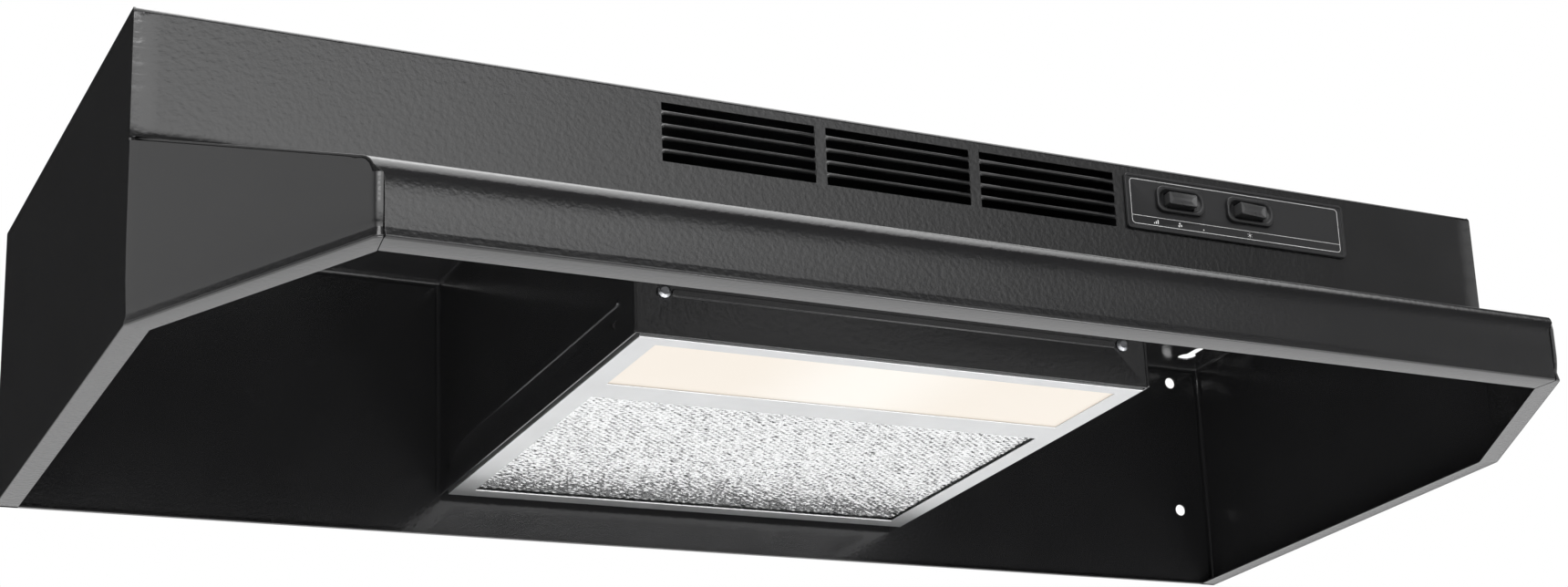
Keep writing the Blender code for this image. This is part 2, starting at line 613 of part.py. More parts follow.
def make_orifice():
    """The plate between the filter and the motor, with a collar round the fan and flanges turned down."""
    half = BOX_INNER
    line = [(-half, ORIFICE_Z - RETURN), (-half, ORIFICE_Z), (half, ORIFICE_Z), (half, ORIFICE_Z - RETURN)]
    front = LAMP_REAR + SHEET + GAP
    plate = prism("orifice_plate", strip(line, -SHEET), "Y", front, INNER_Y, PAINT)
    hole, place = FAN_RADIUS + FAN_CLEAR, (0, FAN_Y, 0)
    low, high = ORIFICE_Z - SHEET / 2, ORIFICE_Z + ORIFICE_COLLAR
    join(plate, cylinder("collar", hole + SHEET, low, high, place, steps=40))
    return cut(plate, cylinder("orifice", hole, 0, HEIGHT, place, steps=40))


# The filter assembly

def make_filter():
    """An aluminium frame with a groove all round, which holds the lens, the mesh and the charcoal."""
    half = FRAME_WIDTH / 2
    low, high = (-half, FRAME_FRONT, FRAME_BOTTOM), (half, FRAME_REAR, FRAME_TOP)
    frame = box("filter_frame", low, high, ALUMINIUM)
    floor = FRAME_BOTTOM + FRAME_SKIN
    pad_z = floor + GAP
    windows = ((LENS_FRONT, LENS_REAR), (MESH_FRONT, MESH_REAR))
    open_low, open_high = FRAME_BOTTOM - MARGIN, FRAME_TOP + MARGIN
    holes = [((-WINDOW_X, y0, open_low), (WINDOW_X, y1, open_high)) for y0, y1 in windows]
    cut(frame, boxes("frame_windows", holes))
    top, reach = FRAME_TOP - FRAME_SKIN, PAD_TUCK + GAP
    half_x = WINDOW_X + reach
    grooves = [((-half_x, y0 - reach, floor), (half_x, y1 + reach, top)) for y0, y1 in windows]
    cut(frame, boxes("frame_grooves", grooves))
    layers = (
        ("light_lens", windows[0], pad_z, LENS_THICK, LENS),
        ("filter_mesh", windows[1], pad_z, MESH_THICK, FOIL),
        ("charcoal_pad", windows[1], pad_z + MESH_THICK + GAP, CHARCOAL_THICK, CARBON),
    )
    half_x = WINDOW_X + PAD_TUCK
    for name, (y0, y1), z, thick, material in layers:
        box(name, (-half_x, y0 - PAD_TUCK, z), (half_x, y1 + PAD_TUCK, z + thick), material)
    return frame


def make_filter_springs():
    """Leaf springs on the front wall, whose feet press on the frame's front rail."""
    foot = FRAME_TOP + GAP
    heel, toe = BOX_INNER_Y + SPRING_REACH / 2, BOX_INNER_Y + SPRING_REACH
    line = [(BOX_INNER_Y, foot + SPRING_RISE), (BOX_INNER_Y, foot + SPRING_BEND), (heel, foot), (toe, foot)]
    for name, x in (("filter_spring_left", -SPRING_X), ("filter_spring_right", SPRING_X)):
        low, high = x - SPRING_WIDTH / 2, x + SPRING_WIDTH / 2
        prism(name, strip(line, SPRING_SHEET), "X", low, high, ZINC)


# Fan and motor

def make_blade(index):
    """A blade: a sector of the fan's disc that climbs from one edge to the other."""
    bm = bmesh.new()
    bmesh.ops.create_grid(bm, x_segments=5, y_segments=5, size=0.5)
    root = HUB_RADIUS * 0.6
    turn = math.radians(360 / BLADES * index)
    for vertex in bm.verts:
        along, across = vertex.co.x + 0.5, vertex.co.y
        radius = root + (FAN_RADIUS - root) * along
        angle = turn + math.radians(BLADE_SPAN) * across * (0.55 + 0.45 * along)
        climb = BLADE_CLIMB * across * (0.45 + 0.55 * along) + BLADE_CROWN * (0.25 - across * across)
        vertex.co = (radius * math.cos(angle), radius * math.sin(angle), climb)
    blade = add_mesh(f"blade_{index}", bm, None)
    blade.location = (0, FAN_Y, FAN_Z)
    wall = blade.modifiers.new("sheet", "SOLIDIFY")
    wall.thickness = SHEET
    wall.offset = 0
    return blade


def make_fan():
    """The fan, its shaft, the rotor on it and the clip that keeps the fan on."""
    place = (0, FAN_Y, FAN_Z)
    top, bore = HUB_HEIGHT / 2, SHAFT_RADIUS + GAP
    dome = [(HUB_RADIUS * 0.75, top), (HUB_RADIUS, top * 0.4), (HUB_RADIUS, -top), (bore, -top), (bore, top)]
    fan = turned("fan_blade", dome, place, ALUMINIUM, steps=30, ring=True)
    join(fan, *(make_blade(i) for i in range(BLADES)))
    below = FAN_Z - top - SHAFT_BELOW_HUB
    shaft_top = STACK_Z + STACK_THICK + END_SHEET + GAP * 2 + BEARING_LENGTH
    cylinder("motor_shaft", SHAFT_RADIUS, below, shaft_top, (0, FAN_Y, 0), ZINC, steps=32)
    clip_z = FAN_Z - top - GAP
    tube("fan_clip", CLIP_RADIUS, bore, clip_z - CLIP_THICK, clip_z, (0, FAN_Y, 0), ZINC, steps=6)
    rotor = (STACK_Z, STACK_Z + STACK_THICK)
    tube("motor_rotor", ROTOR_RADIUS, bore, *rotor, (0, FAN_Y, 0), LAMINATION, steps=32)


def make_motor_bracket(orifice):
    """A strap over the orifice that carries the motor."""
    foot_z = ORIFICE_Z + GAP
    leg, foot = BRACKET_LEG, BRACKET_LEG + BRACKET_FOOT
    line = [(-foot, foot_z), (-leg, foot_z), (-leg, BRACKET_Z)]
    line += mirrored(line, -1)[::-1]
    half = BRACKET_WIDTH / 2
    strap = prism("motor_bracket", strip(line, BRACKET_SHEET), "Y", FAN_Y - half, FAN_Y + half, ZINC)
    passage = BEARING_RADIUS + CUP_WALL + 4 * GAP
    cut(strap, cylinder("bracket_hole", passage, BRACKET_Z - MARGIN, BRACKET_Z + MARGIN, (0, FAN_Y, 0)))
    seat = foot_z + BRACKET_SHEET
    for name, x in (("bracket_screw_left", -1), ("bracket_screw_right", 1)):
        screw(name, (x * (leg + BRACKET_FOOT / 2), FAN_Y, seat), (0, 0, 1), (strap, orifice))
    return strap


def make_stator():
    """The stack of laminations, round the rotor at one end and through the coil at the other."""
    top = STACK_Z + STACK_THICK
    outline = rectangle((-STACK_WIDTH / 2, FAN_Y - STACK_NEAR), (STACK_WIDTH / 2, FAN_Y + STACK_FAR))
    stack = prism("stator_stack", outline, "Z", STACK_Z, top, LAMINATION)
    low = (-WINDOW_HALF, FAN_Y + WINDOW_NEAR, STACK_Z - MARGIN)
    window = box("coil_window", low, (WINDOW_HALF, FAN_Y + WINDOW_FAR, top + MARGIN))
    low, high, place = STACK_Z - MARGIN, top + MARGIN, (0, FAN_Y, 0)
    bore = cylinder("stator_bore", ROTOR_RADIUS + AIR_GAP, low, high, place, steps=32)
    cut(stack, window, bore)
    reach, y0, y1 = WINDOW_HALF - GAP * 2, FAN_Y + WINDOW_FAR - GAP, FAN_Y + STACK_FAR + GAP
    build = COIL_BUILD
    low = (-reach, y0 - build, STACK_Z - GAP - build)
    coil = box("motor_coil", low, (reach, y1 + build, top + GAP + build), COPPER)
    core = box("coil_core", (-WIDTH, y0, STACK_Z - GAP), (WIDTH, y1, top + GAP))
    cut(coil, core)
    return stack


def make_motor_end(name, z, way):
    """A strap over one face of the stack, with a cup round its bearing. Way is +1 above, -1 below."""

    def levels(near, far):
        """Two distances from the stack, as heights in rising order."""
        return sorted((z + way * near, z + way * far))

    half_x, half_y, place = STACK_WIDTH / 2, END_WIDTH / 2, (0, FAN_Y, 0)
    outline = rectangle((-half_x, FAN_Y - half_y), (half_x, FAN_Y + half_y))
    end = prism(name, outline, "Z", *levels(0, END_SHEET), ZINC)
    bore = BEARING_RADIUS + GAP
    floor = END_SHEET + BEARING_LENGTH + GAP
    cup = levels(END_SHEET / 2, floor + CUP_WALL)
    join(end, cylinder(name + "_cup", bore + CUP_WALL, *cup, place))
    cut(end, cylinder(name + "_pocket", bore, *levels(-MARGIN, floor), place))
    if way < 0:
        cut(end, cylinder(name + "_shaft_hole", SHAFT_RADIUS * 1.5, cup[0] - MARGIN, cup[1], place, steps=16))
    where = "motor_bearing_upper" if way > 0 else "motor_bearing_lower"
    bearing = levels(END_SHEET, END_SHEET + BEARING_LENGTH)
    tube(where, BEARING_RADIUS, SHAFT_RADIUS + SHAFT_FIT, *bearing, place, BRONZE, steps=32)
    return end


def make_motor(orifice):
    strap = make_motor_bracket(orifice)
    stack = make_stator()
    top = STACK_Z + STACK_THICK + GAP
    ends = [make_motor_end("motor_end_upper", top, 1), make_motor_end("motor_end_lower", STACK_Z - GAP, -1)]
    seat = top + END_SHEET
    length = seat - BRACKET_Z + BOLT_PAST
    nut = (BRACKET_Z - GAP - NUT_THICK, BRACKET_Z - GAP)
    spacer = (BRACKET_Z + BRACKET_SHEET + GAP, STACK_Z - 2 * GAP - END_SHEET)
    bore = SCREW_SHANK + GAP
    for name, x in (("left", -BOLT_OFFSET), ("right", BOLT_OFFSET)):
        screw(f"motor_bolt_{name}", (x, FAN_Y, seat), (0, 0, 1), (stack, strap, *ends), length=length)
        tube(f"motor_nut_{name}", NUT_RADIUS, bore, *nut, (x, FAN_Y, 0), ZINC, steps=6)
        tube(f"motor_spacer_{name}", SPACER_RADIUS, bore, *spacer, (x, FAN_Y, 0), ZINC, steps=16)


# The lamp

def make_lamp_housing():
    """A trough over the lens that keeps the lamp's light in and the air out."""
    front = BOX_INNER_Y + RETURN / 2
    bottom = FRAME_TOP + FRAME_FIT * 2
    line = [(front, bottom + RETURN), (front, LAMP_TOP), (LAMP_REAR, LAMP_TOP), (LAMP_REAR, bottom)]
    half = BOX_INNER - SHEET - 2 * GAP
    return prism("lamp_housing", strip(line, -SHEET), "X", -half, half, ZINC)


def make_lamp(housing):
    """The socket on its bracket, and a bulb with its screw cap."""
    roof = LAMP_TOP - SHEET - GAP
    plate_low = roof - SOCKET_PLATE_HEIGHT
    line = [(SOCKET_X + GAP, plate_low), (SOCKET_X + GAP, roof), (SOCKET_X + GAP + RETURN, roof)]
    low, high = LENS_MIDDLE - RETURN, LENS_MIDDLE + RETURN
    bracket = prism("socket_bracket", strip(line, -SHEET), "Y", low, high, ZINC)
    seat = (SOCKET_X + GAP + RETURN / 2 + SHEET / 2, LENS_MIDDLE, roof - SHEET)
    screw("socket_screw", seat, (0, 0, -1), (bracket, housing))
    place, axis = (0, LENS_MIDDLE, LAMP_Z), (1, 0, 0)
    back, mouth = SOCKET_X, LAMP_X
    bore = CAP_RADIUS + GAP * 2
    floor = back - SOCKET_FLOOR
    cup = [(0, back), (SOCKET_RADIUS, back), (SOCKET_RADIUS, mouth), (bore, mouth), (bore, floor), (0, floor)]
    turned("lamp_socket", cup, place, CERAMIC, axis)
    cap_back = floor - GAP
    cap_front = cap_back - CAP_LENGTH
    nose = [(0, cap_back), (CAP_RADIUS * 0.35, cap_back), (CAP_RADIUS * 0.5, cap_back - CAP_NOSE)]
    cap = nose + [(CAP_RADIUS, cap_back - CAP_SHOULDER), (CAP_RADIUS, cap_front), (0, cap_front)]
    turned("bulb_cap", cap, place, BRASS, axis)
    neck = cap_front - GAP
    tip = neck - BULB_LENGTH
    centre = tip + BULB_RADIUS
    globe = [(0, neck), (CAP_RADIUS * 0.92, neck), (CAP_RADIUS * 1.02, neck - BULB_NECK)]
    globe += [(r, x) for x, r in arc((centre, 0), BULB_RADIUS, 35, 180, 9)]
    globe[-1] = (0, tip)
    turned("bulb_glass", globe, place, GLASS, axis)


# Switches and wiring

def make_switch_plate():
    """The trim plate over the switch holes, with a raised rim."""
    centre = (PLATE_X, PLATE_Z)
    outline = rounded(centre, PLATE_WIDTH, PLATE_HEIGHT, PLATE_CORNER)
    plate = prism("switch_plate", outline, "Y", PLATE_Y - PLATE_RIM_RISE, PLATE_Y + PLATE_THICK, PLASTIC)
    rim = PLATE_RIM * 2
    inner = rounded(centre, PLATE_WIDTH - rim, PLATE_HEIGHT - rim, PLATE_CORNER - PLATE_RIM * 0.6)
    cut(plate, prism("plate_recess", inner, "Y", PLATE_Y - MARGIN, PLATE_Y))
    return cut(plate, bpy.data.objects["switch_holes"])


def make_switch(kind):
    """A snap-in switch: its case with the bezel, its rocker and its terminals."""
    x, z = SWITCH_X[kind], SWITCH_Z
    half_x, half_z = SWITCH_WIDTH / 2, SWITCH_HEIGHT / 2
    bezel = rounded((x, z), SWITCH_WIDTH + 2 * BEZEL_LAP_X, SWITCH_HEIGHT + 2 * BEZEL_LAP_Z, BEZEL_CORNER)
    case = prism(f"{kind}_switch", bezel, "Y", BEZEL_Y, BEZEL_Y + BEZEL_THICK, PLASTIC)
    back = BEZEL_Y + BEZEL_THICK + SWITCH_DEPTH
    body = box(f"{kind}_case", (x - half_x, BEZEL_Y + SHEET, z - half_z), (x + half_x, back, z + half_z))
    room_x, room_z = ROCKER_WIDTH / 2 + ROCKER_SWING, ROCKER_HEIGHT / 2 + ROCKER_ROOM
    low = (x - room_x, BEZEL_Y - MARGIN, z - room_z)
    room = box(f"{kind}_well", low, (x + room_x, BEZEL_Y + WELL_DEPTH, z + room_z))
    join(case, body)
    cut(case, room)
    make_rocker(kind, x, z)
    for i in range(TERMINALS[kind]):
        middle = x + (i - (TERMINALS[kind] - 1) / 2) * TERMINAL_PITCH
        low = (middle - TERMINAL_WIDTH / 2, back + GAP, z - TERMINAL_THICK / 2)
        high = (middle + TERMINAL_WIDTH / 2, back + GAP + TERMINAL_LENGTH, z + TERMINAL_THICK / 2)
        box(f"{kind}_terminal_{i + 1}", low, high, BRASS)


def make_rocker(kind, x, z):
    """A rocker about an upright axis: dished in front and tapering behind. Its origin is on the axis."""
    half, heel = ROCKER_WIDTH / 2, ROCKER_WIDTH / 2 * ROCKER_TAPER
    face = -ROCKER_RISE - ROCKER_PIVOT
    dish = [(half * t, face + ROCKER_DISH * (1 - t * t)) for t in (-0.96, -0.6, -0.3, 0, 0.3, 0.6, 0.96)]
    outline = [(-half, face + ROCKER_EDGE)] + dish + [(half, face + ROCKER_EDGE), (half, -ROCKER_PIVOT / 2)]
    outline += [(heel, ROCKER_HEEL), (-heel, ROCKER_HEEL), (-half, -ROCKER_PIVOT / 2)]
    rocker = prism(f"{kind}_rocker", outline, "Z", -ROCKER_HEIGHT / 2, ROCKER_HEIGHT / 2, PLASTIC)
    rocker.location = (x, ROCKER_Y, z)
    rocker.rotation_euler = (0, 0, math.radians(ROCKER_REST[kind]))
    return rocker


def make_wiring_cover():
    """A tray behind the switches, closed by the top and the front panel."""
    left, right, rear = COVER_LEFT, COVER_LEFT + COVER_LENGTH, BOX_Y + COVER_DEPTH
    cover = box("wiring_cover", (left, BOX_Y, COVER_FLOOR), (right, rear, UNDER_TOP), ZINC)
    low = (left + SHEET, BOX_Y - MARGIN, COVER_FLOOR + SHEET)
    cut(cover, box("cover_inside", low, (right - SHEET, rear - SHEET, HEIGHT + MARGIN)))
    ear_low = (right - SHEET, rear - EAR_FAR, UNDER_TOP - SHEET)
    join(cover, box("cover_ear", ear_low, (right + COVER_EAR, rear - EAR_NEAR, UNDER_TOP)))
    return cover


def make_lead(name, points):
    """An insulated lead along a smooth curve through its points."""
    curve = bpy.data.curves.new(name, "CURVE")
    curve.dimensions = "3D"
    curve.bevel_depth = LEAD_RADIUS
    curve.bevel_resolution = 1
    curve.use_fill_caps = True
    route = smooth(points, 4)
    spline = curve.splines.new("POLY")
    spline.points.add(len(route) - 1)
    for point, place in zip(spline.points, route):
        point.co = (*place, 1)
    made = bpy.data.objects.new(name, curve)
    HOOD.objects.link(made)
    curve.materials.append(RUBBER)
    return made


def smooth(points, steps):
    """A Catmull-Rom curve through the points."""
    places = [Vector(point) for point in points]
    places = [2 * places[0] - places[1]] + places + [2 * places[-1] - places[-2]]
    route = []
    for a, b, c, d in zip(places, places[1:], places[2:], places[3:]):
        for i in range(steps):
            t = i / steps
            cubic = -a + 3 * b - 3 * c + d
            square = 2 * a - 5 * b + 4 * c - d
            route.append((2 * b + (c - a) * t + square * t * t + cubic * t ** 3) / 2)
    route.append(places[-2])
    return route


def make_bushing(box_side, cover):
    """A rubber bushing where the motor's lead goes from the wiring tray into the box."""
    place, axis = (BOX_X + GAP, BOX_Y + BUSHING_BEHIND, COVER_FLOOR + BUSHING_UP), (1, 0, 0)
    waist, end = SHEET + 2 * GAP, SHEET + 3 * GAP + BUSHING_LIP_THICK
    inner, lip = LEAD_RADIUS + BUSHING_ROOM, BUSHING_RADIUS + BUSHING_LIP
    profile = [(lip, end), (lip, waist), (BUSHING_RADIUS, waist), (BUSHING_RADIUS, -waist), (lip, -waist)]
    profile += [(lip, -end), (inner, -end), (inner, end)]
    turned("lead_bushing", profile, place, RUBBER, axis, steps=16, ring=True)
    hole = cylinder("bushing_hole", BUSHING_RADIUS + GAP, -MARGIN, MARGIN, place, axis=axis, steps=16)
    cut(box_side, hole)
    cut(cover, hole)
    return place


def make_leads(bushing):
    """The motor's lead, from the fan switch through the bushing to the coil."""
    x, z = SWITCH_X["fan"], SWITCH_Z
    start_y = BEZEL_Y + BEZEL_THICK + SWITCH_DEPTH + TERMINAL_LENGTH + 3 * GAP + LEAD_RADIUS
    _, by, bz = bushing
    coil_x = WINDOW_HALF + 0.003
    coil_y = FAN_Y + STACK_FAR + 0.006
    points = [(x, start_y, z), (x, start_y + 0.006, z - 0.003), (x - 0.008, by - 0.001, bz + 0.002)]
    points += [(bushing[0] + reach, by, bz) for reach in (0.010, 0.0, -0.010)]
    points.append((0.110, by + 0.020, bz + 0.010))
    points += [(0.080, FAN_Y, bz + 0.020), (0.055, coil_y - 0.012, bz + 0.012), (coil_x, coil_y, STACK_Z + 0.010)]
    return make_lead("motor_lead", points)


def make_hood():
    make_visor()
    spaces = (canopy_cutter(), hem_cutter())
    make_side_panel("side_panel_left", -1, spaces)
    make_side_panel("side_panel_right", 1, spaces)
    make_front_panel()
    top = make_top_panel()
    make_back_panel()
    make_box_side("fan_box_left", -1)
    box_right = make_box_side("fan_box_right", 1)
    box_front = make_box_front()
    orifice = make_orifice()
    make_filter()
    make_filter_springs()
    make_fan()
    make_motor(orifice)
    housing = make_lamp_housing()
    make_lamp(housing)
    make_switch_plate()
    for kind in SWITCH_X:
        make_switch(kind)
    cover = make_wiring_cover()
    make_leads(make_bushing(box_right, cover))
    for name, side in (("front_wall_screw_left", -1), ("front_wall_screw_right", 1)):
        seat = (side * (BOX_X - SCREW_MARGIN), BOX_Y, RIB_Z)
        screw(name, seat, (0, -1, 0), (box_front,), length=0.005)
    ear_y = BOX_Y + COVER_DEPTH - (EAR_FAR + EAR_NEAR) / 2
    ear = (COVER_LEFT + COVER_LENGTH + COVER_EAR / 2, ear_y, UNDER_TOP - SHEET)
    screw("cover_screw", ear, (0, 0, -1), (cover, top), length=2 * SHEET + GAP)
    ground = (BOX_X + GROUND_PLACE[0], BOX_Y + GROUND_PLACE[1], COVER_FLOOR + SHEET)
    screw("ground_screw", ground, (0, 0, 1), (cover,), length=0.004)


make_hood()
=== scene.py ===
# %% [markdown]
# # An under cabinet range hood, from its frame to its finish
#
# The frame is the packed model: every panel, screw and motor part is already in its place, and it
# moves as the real hood does. This script gives it its skin. Sheet steel is drawn again as thin bent
# surfaces with soft folds, because a fold is where enamel shows its gloss. The other pieces keep their
# shape, and get broken edges and a finish of their own.

# %% Load the frame
import json
import math

import bmesh
import bpy
import numpy as np
from mathutils import Matrix, Vector

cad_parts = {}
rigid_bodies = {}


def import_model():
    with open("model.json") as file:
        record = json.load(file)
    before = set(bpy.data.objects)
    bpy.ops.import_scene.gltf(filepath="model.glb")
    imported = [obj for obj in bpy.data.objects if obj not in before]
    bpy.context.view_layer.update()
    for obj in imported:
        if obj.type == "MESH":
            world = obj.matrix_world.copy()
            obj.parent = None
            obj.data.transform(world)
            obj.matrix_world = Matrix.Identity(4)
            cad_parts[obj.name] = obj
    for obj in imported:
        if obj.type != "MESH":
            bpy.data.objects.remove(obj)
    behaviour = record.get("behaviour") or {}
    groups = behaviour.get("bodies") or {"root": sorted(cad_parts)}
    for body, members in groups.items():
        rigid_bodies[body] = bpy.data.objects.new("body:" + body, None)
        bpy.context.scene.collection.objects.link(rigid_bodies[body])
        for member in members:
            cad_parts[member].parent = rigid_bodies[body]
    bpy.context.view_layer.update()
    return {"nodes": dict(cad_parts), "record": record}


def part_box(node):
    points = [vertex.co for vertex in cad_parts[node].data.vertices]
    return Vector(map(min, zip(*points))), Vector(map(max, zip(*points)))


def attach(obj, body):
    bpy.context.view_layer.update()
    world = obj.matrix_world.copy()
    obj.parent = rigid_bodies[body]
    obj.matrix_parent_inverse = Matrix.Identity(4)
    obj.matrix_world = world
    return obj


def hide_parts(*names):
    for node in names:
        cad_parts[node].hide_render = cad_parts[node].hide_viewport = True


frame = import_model()
NODES = frame["nodes"]
SLOT_OF = {part["node"]: part["material_slot"] for part in frame["record"]["subparts"]}
BODY_OF = {node.name: node.parent.name.split(":")[1] for node in NODES.values()}

# %% Sizes read from the frame
MM = 0.001
SHEET = 1.0 * MM                     # steel of the canopy
GAP = 0.3 * MM                       # between pieces that touch
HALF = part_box("visor")[1].x          # half the hood's width
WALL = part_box("back_panel")[1].y
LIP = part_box("visor")[0].y
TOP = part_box("top_panel")[1].z
FACE_AHEAD = 12.3 * MM               # from the top panel's edge to the front panel's face
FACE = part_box("top_panel")[0].y - FACE_AHEAD
VISOR_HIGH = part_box("visor")[1].z
print("front panel at y", round(FACE, 4), "lip at y", round(LIP, 4))

# %% [markdown]
# ## Camera
#
# The hood is seen from below and from its left, as a cook sees it, through a long lens that keeps its
# edges nearly parallel. The lens is shifted, so that the view is a part of a wider one, and the
# camera leans a little to its left.

# %% Camera
EYE = Vector((-0.6160, -1.2583, -0.4120))
LOOKS_AT = Vector((0.1635, -0.0883, 0.0204))
LEAN = math.radians(-4.88)
lens = bpy.data.cameras.new("camera")
lens.lens = 62.54
lens.shift_x, lens.shift_y = -0.2558, 0.0628
lens.clip_start, lens.clip_end = 0.01, 50
camera = bpy.data.objects.new("camera", lens)
bpy.context.scene.collection.objects.link(camera)
turn = (LOOKS_AT - EYE).to_track_quat("-Z", "Y").to_matrix() @ Matrix.Rotation(LEAN, 3, "Z")
camera.matrix_world = Matrix.Translation(EYE) @ turn.to_4x4()
bpy.context.scene.camera = camera
bpy.context.scene.view_settings.view_transform = "Standard"
print("camera", round((LOOKS_AT - EYE).length, 3), "m from what it looks at")

# %% [markdown]
# ## Shader maths
#
# A pattern is arithmetic on numbers that vary over a surface. `Value` wraps one socket and overloads
# the operators, so that `1 - mask * 0.5` adds its own Math nodes. `Tree.add` makes any other node.


# %% Sockets as numbers
class Value:
    """One output socket of a node tree, which the operators + - and * work on."""

    def __init__(self, tree, socket):
        self.tree, self.socket = tree, socket

    def maths(self, operation, first, second):
        """Adds a Math node on two Values or numbers."""
        return self.tree.add("ShaderNodeMath", {"operation": operation}, {0: first, 1: second})

    def __add__(self, other):
        return self.maths("ADD", self, other)

    def __sub__(self, other):
        return self.maths("SUBTRACT", self, other)

    def __rsub__(self, other):
        return self.maths("SUBTRACT", other, self)

    def __mul__(self, other):
        return self.maths("MULTIPLY", self, other)

    __radd__, __rmul__ = __add__, __mul__

    def step(self, low, high):
        """0 below low, 1 above high, and a smooth rise between them. It falls where low is above high."""
        values = {"Value": self, "From Min": low, "From Max": high}
        return self.tree.add("ShaderNodeMapRange", {"interpolation_type": "SMOOTHSTEP"}, values)


class Tree:
    """A node tree, with one method that adds any node to it."""

    def __init__(self, nodes_of):
        self.tree = nodes_of.node_tree

    def put(self, socket, value):
        """Links a Value to an input socket, or sets the socket to a number, colour or vector."""
        if isinstance(value, Value):
            self.tree.links.new(value.socket, socket)
        elif isinstance(value, tuple) and len(value) == 3 and socket.type == "RGBA":
            socket.default_value = (*value, 1)
        else:
            socket.default_value = value

    def add(self, kind, settings=None, values=None, out=0):
        """Adds a node of that type, with its settings, then the values or links of its sockets."""
        made = self.tree.nodes.new(kind)
        for key, value in (settings or {}).items():
            setattr(made, key, value)
        for key, value in (values or {}).items():
            self.put(made.inputs[key], value)
        return Value(self, made.outputs[out])

    def mix(self, share, first, second):
        """Blends two colours by a share from 0 to 1."""
        return self.add("ShaderNodeMix", {"data_type": "RGBA"}, {0: share, 6: first, 7: second}, out=2)

    def noise(self, where, scale, detail=2.0, roughness=0.5):
        """Smooth noise of that many lumps a metre, about 0.5."""
        values = {"Vector": where, "Scale": scale, "Detail": detail, "Roughness": roughness}
        return self.add("ShaderNodeTexNoise", None, values)

    def stretched(self, where, scale):
        """The same coordinates, scaled along each axis."""
        return self.add("ShaderNodeMapping", None, {"Vector": where, "Scale": scale})

    def bump(self, height, distance, strength=1.0):
        """A normal that leans as if the surface rose by height times distance, in metres."""
        return self.add("ShaderNodeBump", None, {"Height": height, "Distance": distance, "Strength": strength})


print("a Value has", [name for name in vars(Value) if name.startswith("__r")], "for numbers on its left")

# %% [markdown]
# ## Studio
#
# Black enamel has next to no colour of its own: what we see in it is the room. So the light is painted
# as a room round the hood. It has a bright ceiling, a dark band above eye level, a soft window low in
# front that fades to the right, dim side walls, a back that is bright only high up, and a white floor.
# Camera rays see plain white instead.

# %% The room's light
CEILING, BAND, FLOOR_LIGHT = 3.0, 0.02, 0.85
WINDOW_LIGHT, SIDE_LIGHT, BACK_LIGHT = 2.6, 0.68, 1.4
# Each edge is a pair of degrees: dark at the first, and full at the second. Around, 0 is straight in
# front and 90 is on the right. Up, 0 is level.
WINDOW_EDGES = ((40.0, 9.0), (-70.0, -30.0))
LEFT_EDGES, RIGHT_EDGES = ((-60.0, -90.0), (-150.0, -125.0)), ((30.0, 60.0), (150.0, 125.0))
WALL_TOP, WALL_FOOT_EDGE, FLOOR_EDGE = (33.0, 25.0), (3.0, 12.0), (-2.0, -10.0)
CEILING_EDGE, CEILING_RISE = (49.0, 55.0), (52.0, 70.0)
BACK_RISE, BACK_SPREAD = (27.0, 42.0), (125.0, 150.0)


def paint_room():
    """Radiance by direction: a floor below, a ceiling above 49 degrees, and walls with a window between."""
    world = bpy.data.worlds.new("studio")
    world.use_nodes = True
    bpy.context.scene.world = world
    tree = Tree(world)
    split = tree.add("ShaderNodeSeparateXYZ", None, {0: tree.add("ShaderNodeTexCoord")})
    x, y, z = (Value(tree, socket) for socket in split.socket.node.outputs)
    degrees = 180 / math.pi
    rise = tree.add("ShaderNodeMath", {"operation": "ARCSINE"}, {0: z}) * degrees
    side = tree.add("ShaderNodeMath", {"operation": "ARCTAN2"}, {0: x, 1: y * -1}) * degrees
    around = tree.add("ShaderNodeMath", {"operation": "ABSOLUTE"}, {0: side})
    front = side.step(*WINDOW_EDGES[0]) * side.step(*WINDOW_EDGES[1]) * WINDOW_LIGHT
    left = side.step(*LEFT_EDGES[0]) * side.step(*LEFT_EDGES[1]) * SIDE_LIGHT
    right = side.step(*RIGHT_EDGES[0]) * side.step(*RIGHT_EDGES[1]) * SIDE_LIGHT
    walls = (front + left + right) * rise.step(*WALL_TOP) * rise.step(*WALL_FOOT_EDGE)
    ceiling = rise.step(*CEILING_EDGE) * (rise.step(*CEILING_RISE) * 0.5 + 0.5) * CEILING
    behind = rise.step(*BACK_RISE) * around.step(*BACK_SPREAD) * BACK_LIGHT
    light = walls + ceiling + behind + BAND + rise.step(*FLOOR_EDGE) * FLOOR_LIGHT
    seen = tree.add("ShaderNodeLightPath")
    background = tree.tree.nodes["Background"]
    tree.put(background.inputs["Strength"], seen + (1 - seen) * light)
    tree.put(background.inputs["Color"], (1.0, 1.0, 1.0))


paint_room()
print("room painted: window", WINDOW_LIGHT, "ceiling", CEILING)

# %% Floor and lamps
FLOOR_Z, FLOOR_REACH = -5.0, 16.0


def add_floor():
    """A pale floor far below the hood, which hangs where a cabinet would hold it."""
    mesh = bpy.data.meshes.new("floor")
    corners = [(x * FLOOR_REACH, y * FLOOR_REACH, FLOOR_Z) for x, y in ((-1, -1), (1, -1), (1, 1), (-1, 1))]
    mesh.from_pydata(corners, [], [(0, 1, 2, 3)])
    floor = bpy.data.objects.new("floor", mesh)
    bpy.context.scene.collection.objects.link(floor)
    material = bpy.data.materials.new("pale_floor")
    material.use_nodes = True
    tree = Tree(material)
    shader = tree.tree.nodes["Principled BSDF"]
    where = tree.add("ShaderNodeTexCoord", out=3)
    tree.put(shader.inputs["Base Color"], tree.mix(tree.noise(where, 1.5), (0.90, 0.90, 0.90), (0.94, 0.94, 0.94)))
    shader.inputs["Roughness"].default_value = 0.8
    mesh.materials.append(material)


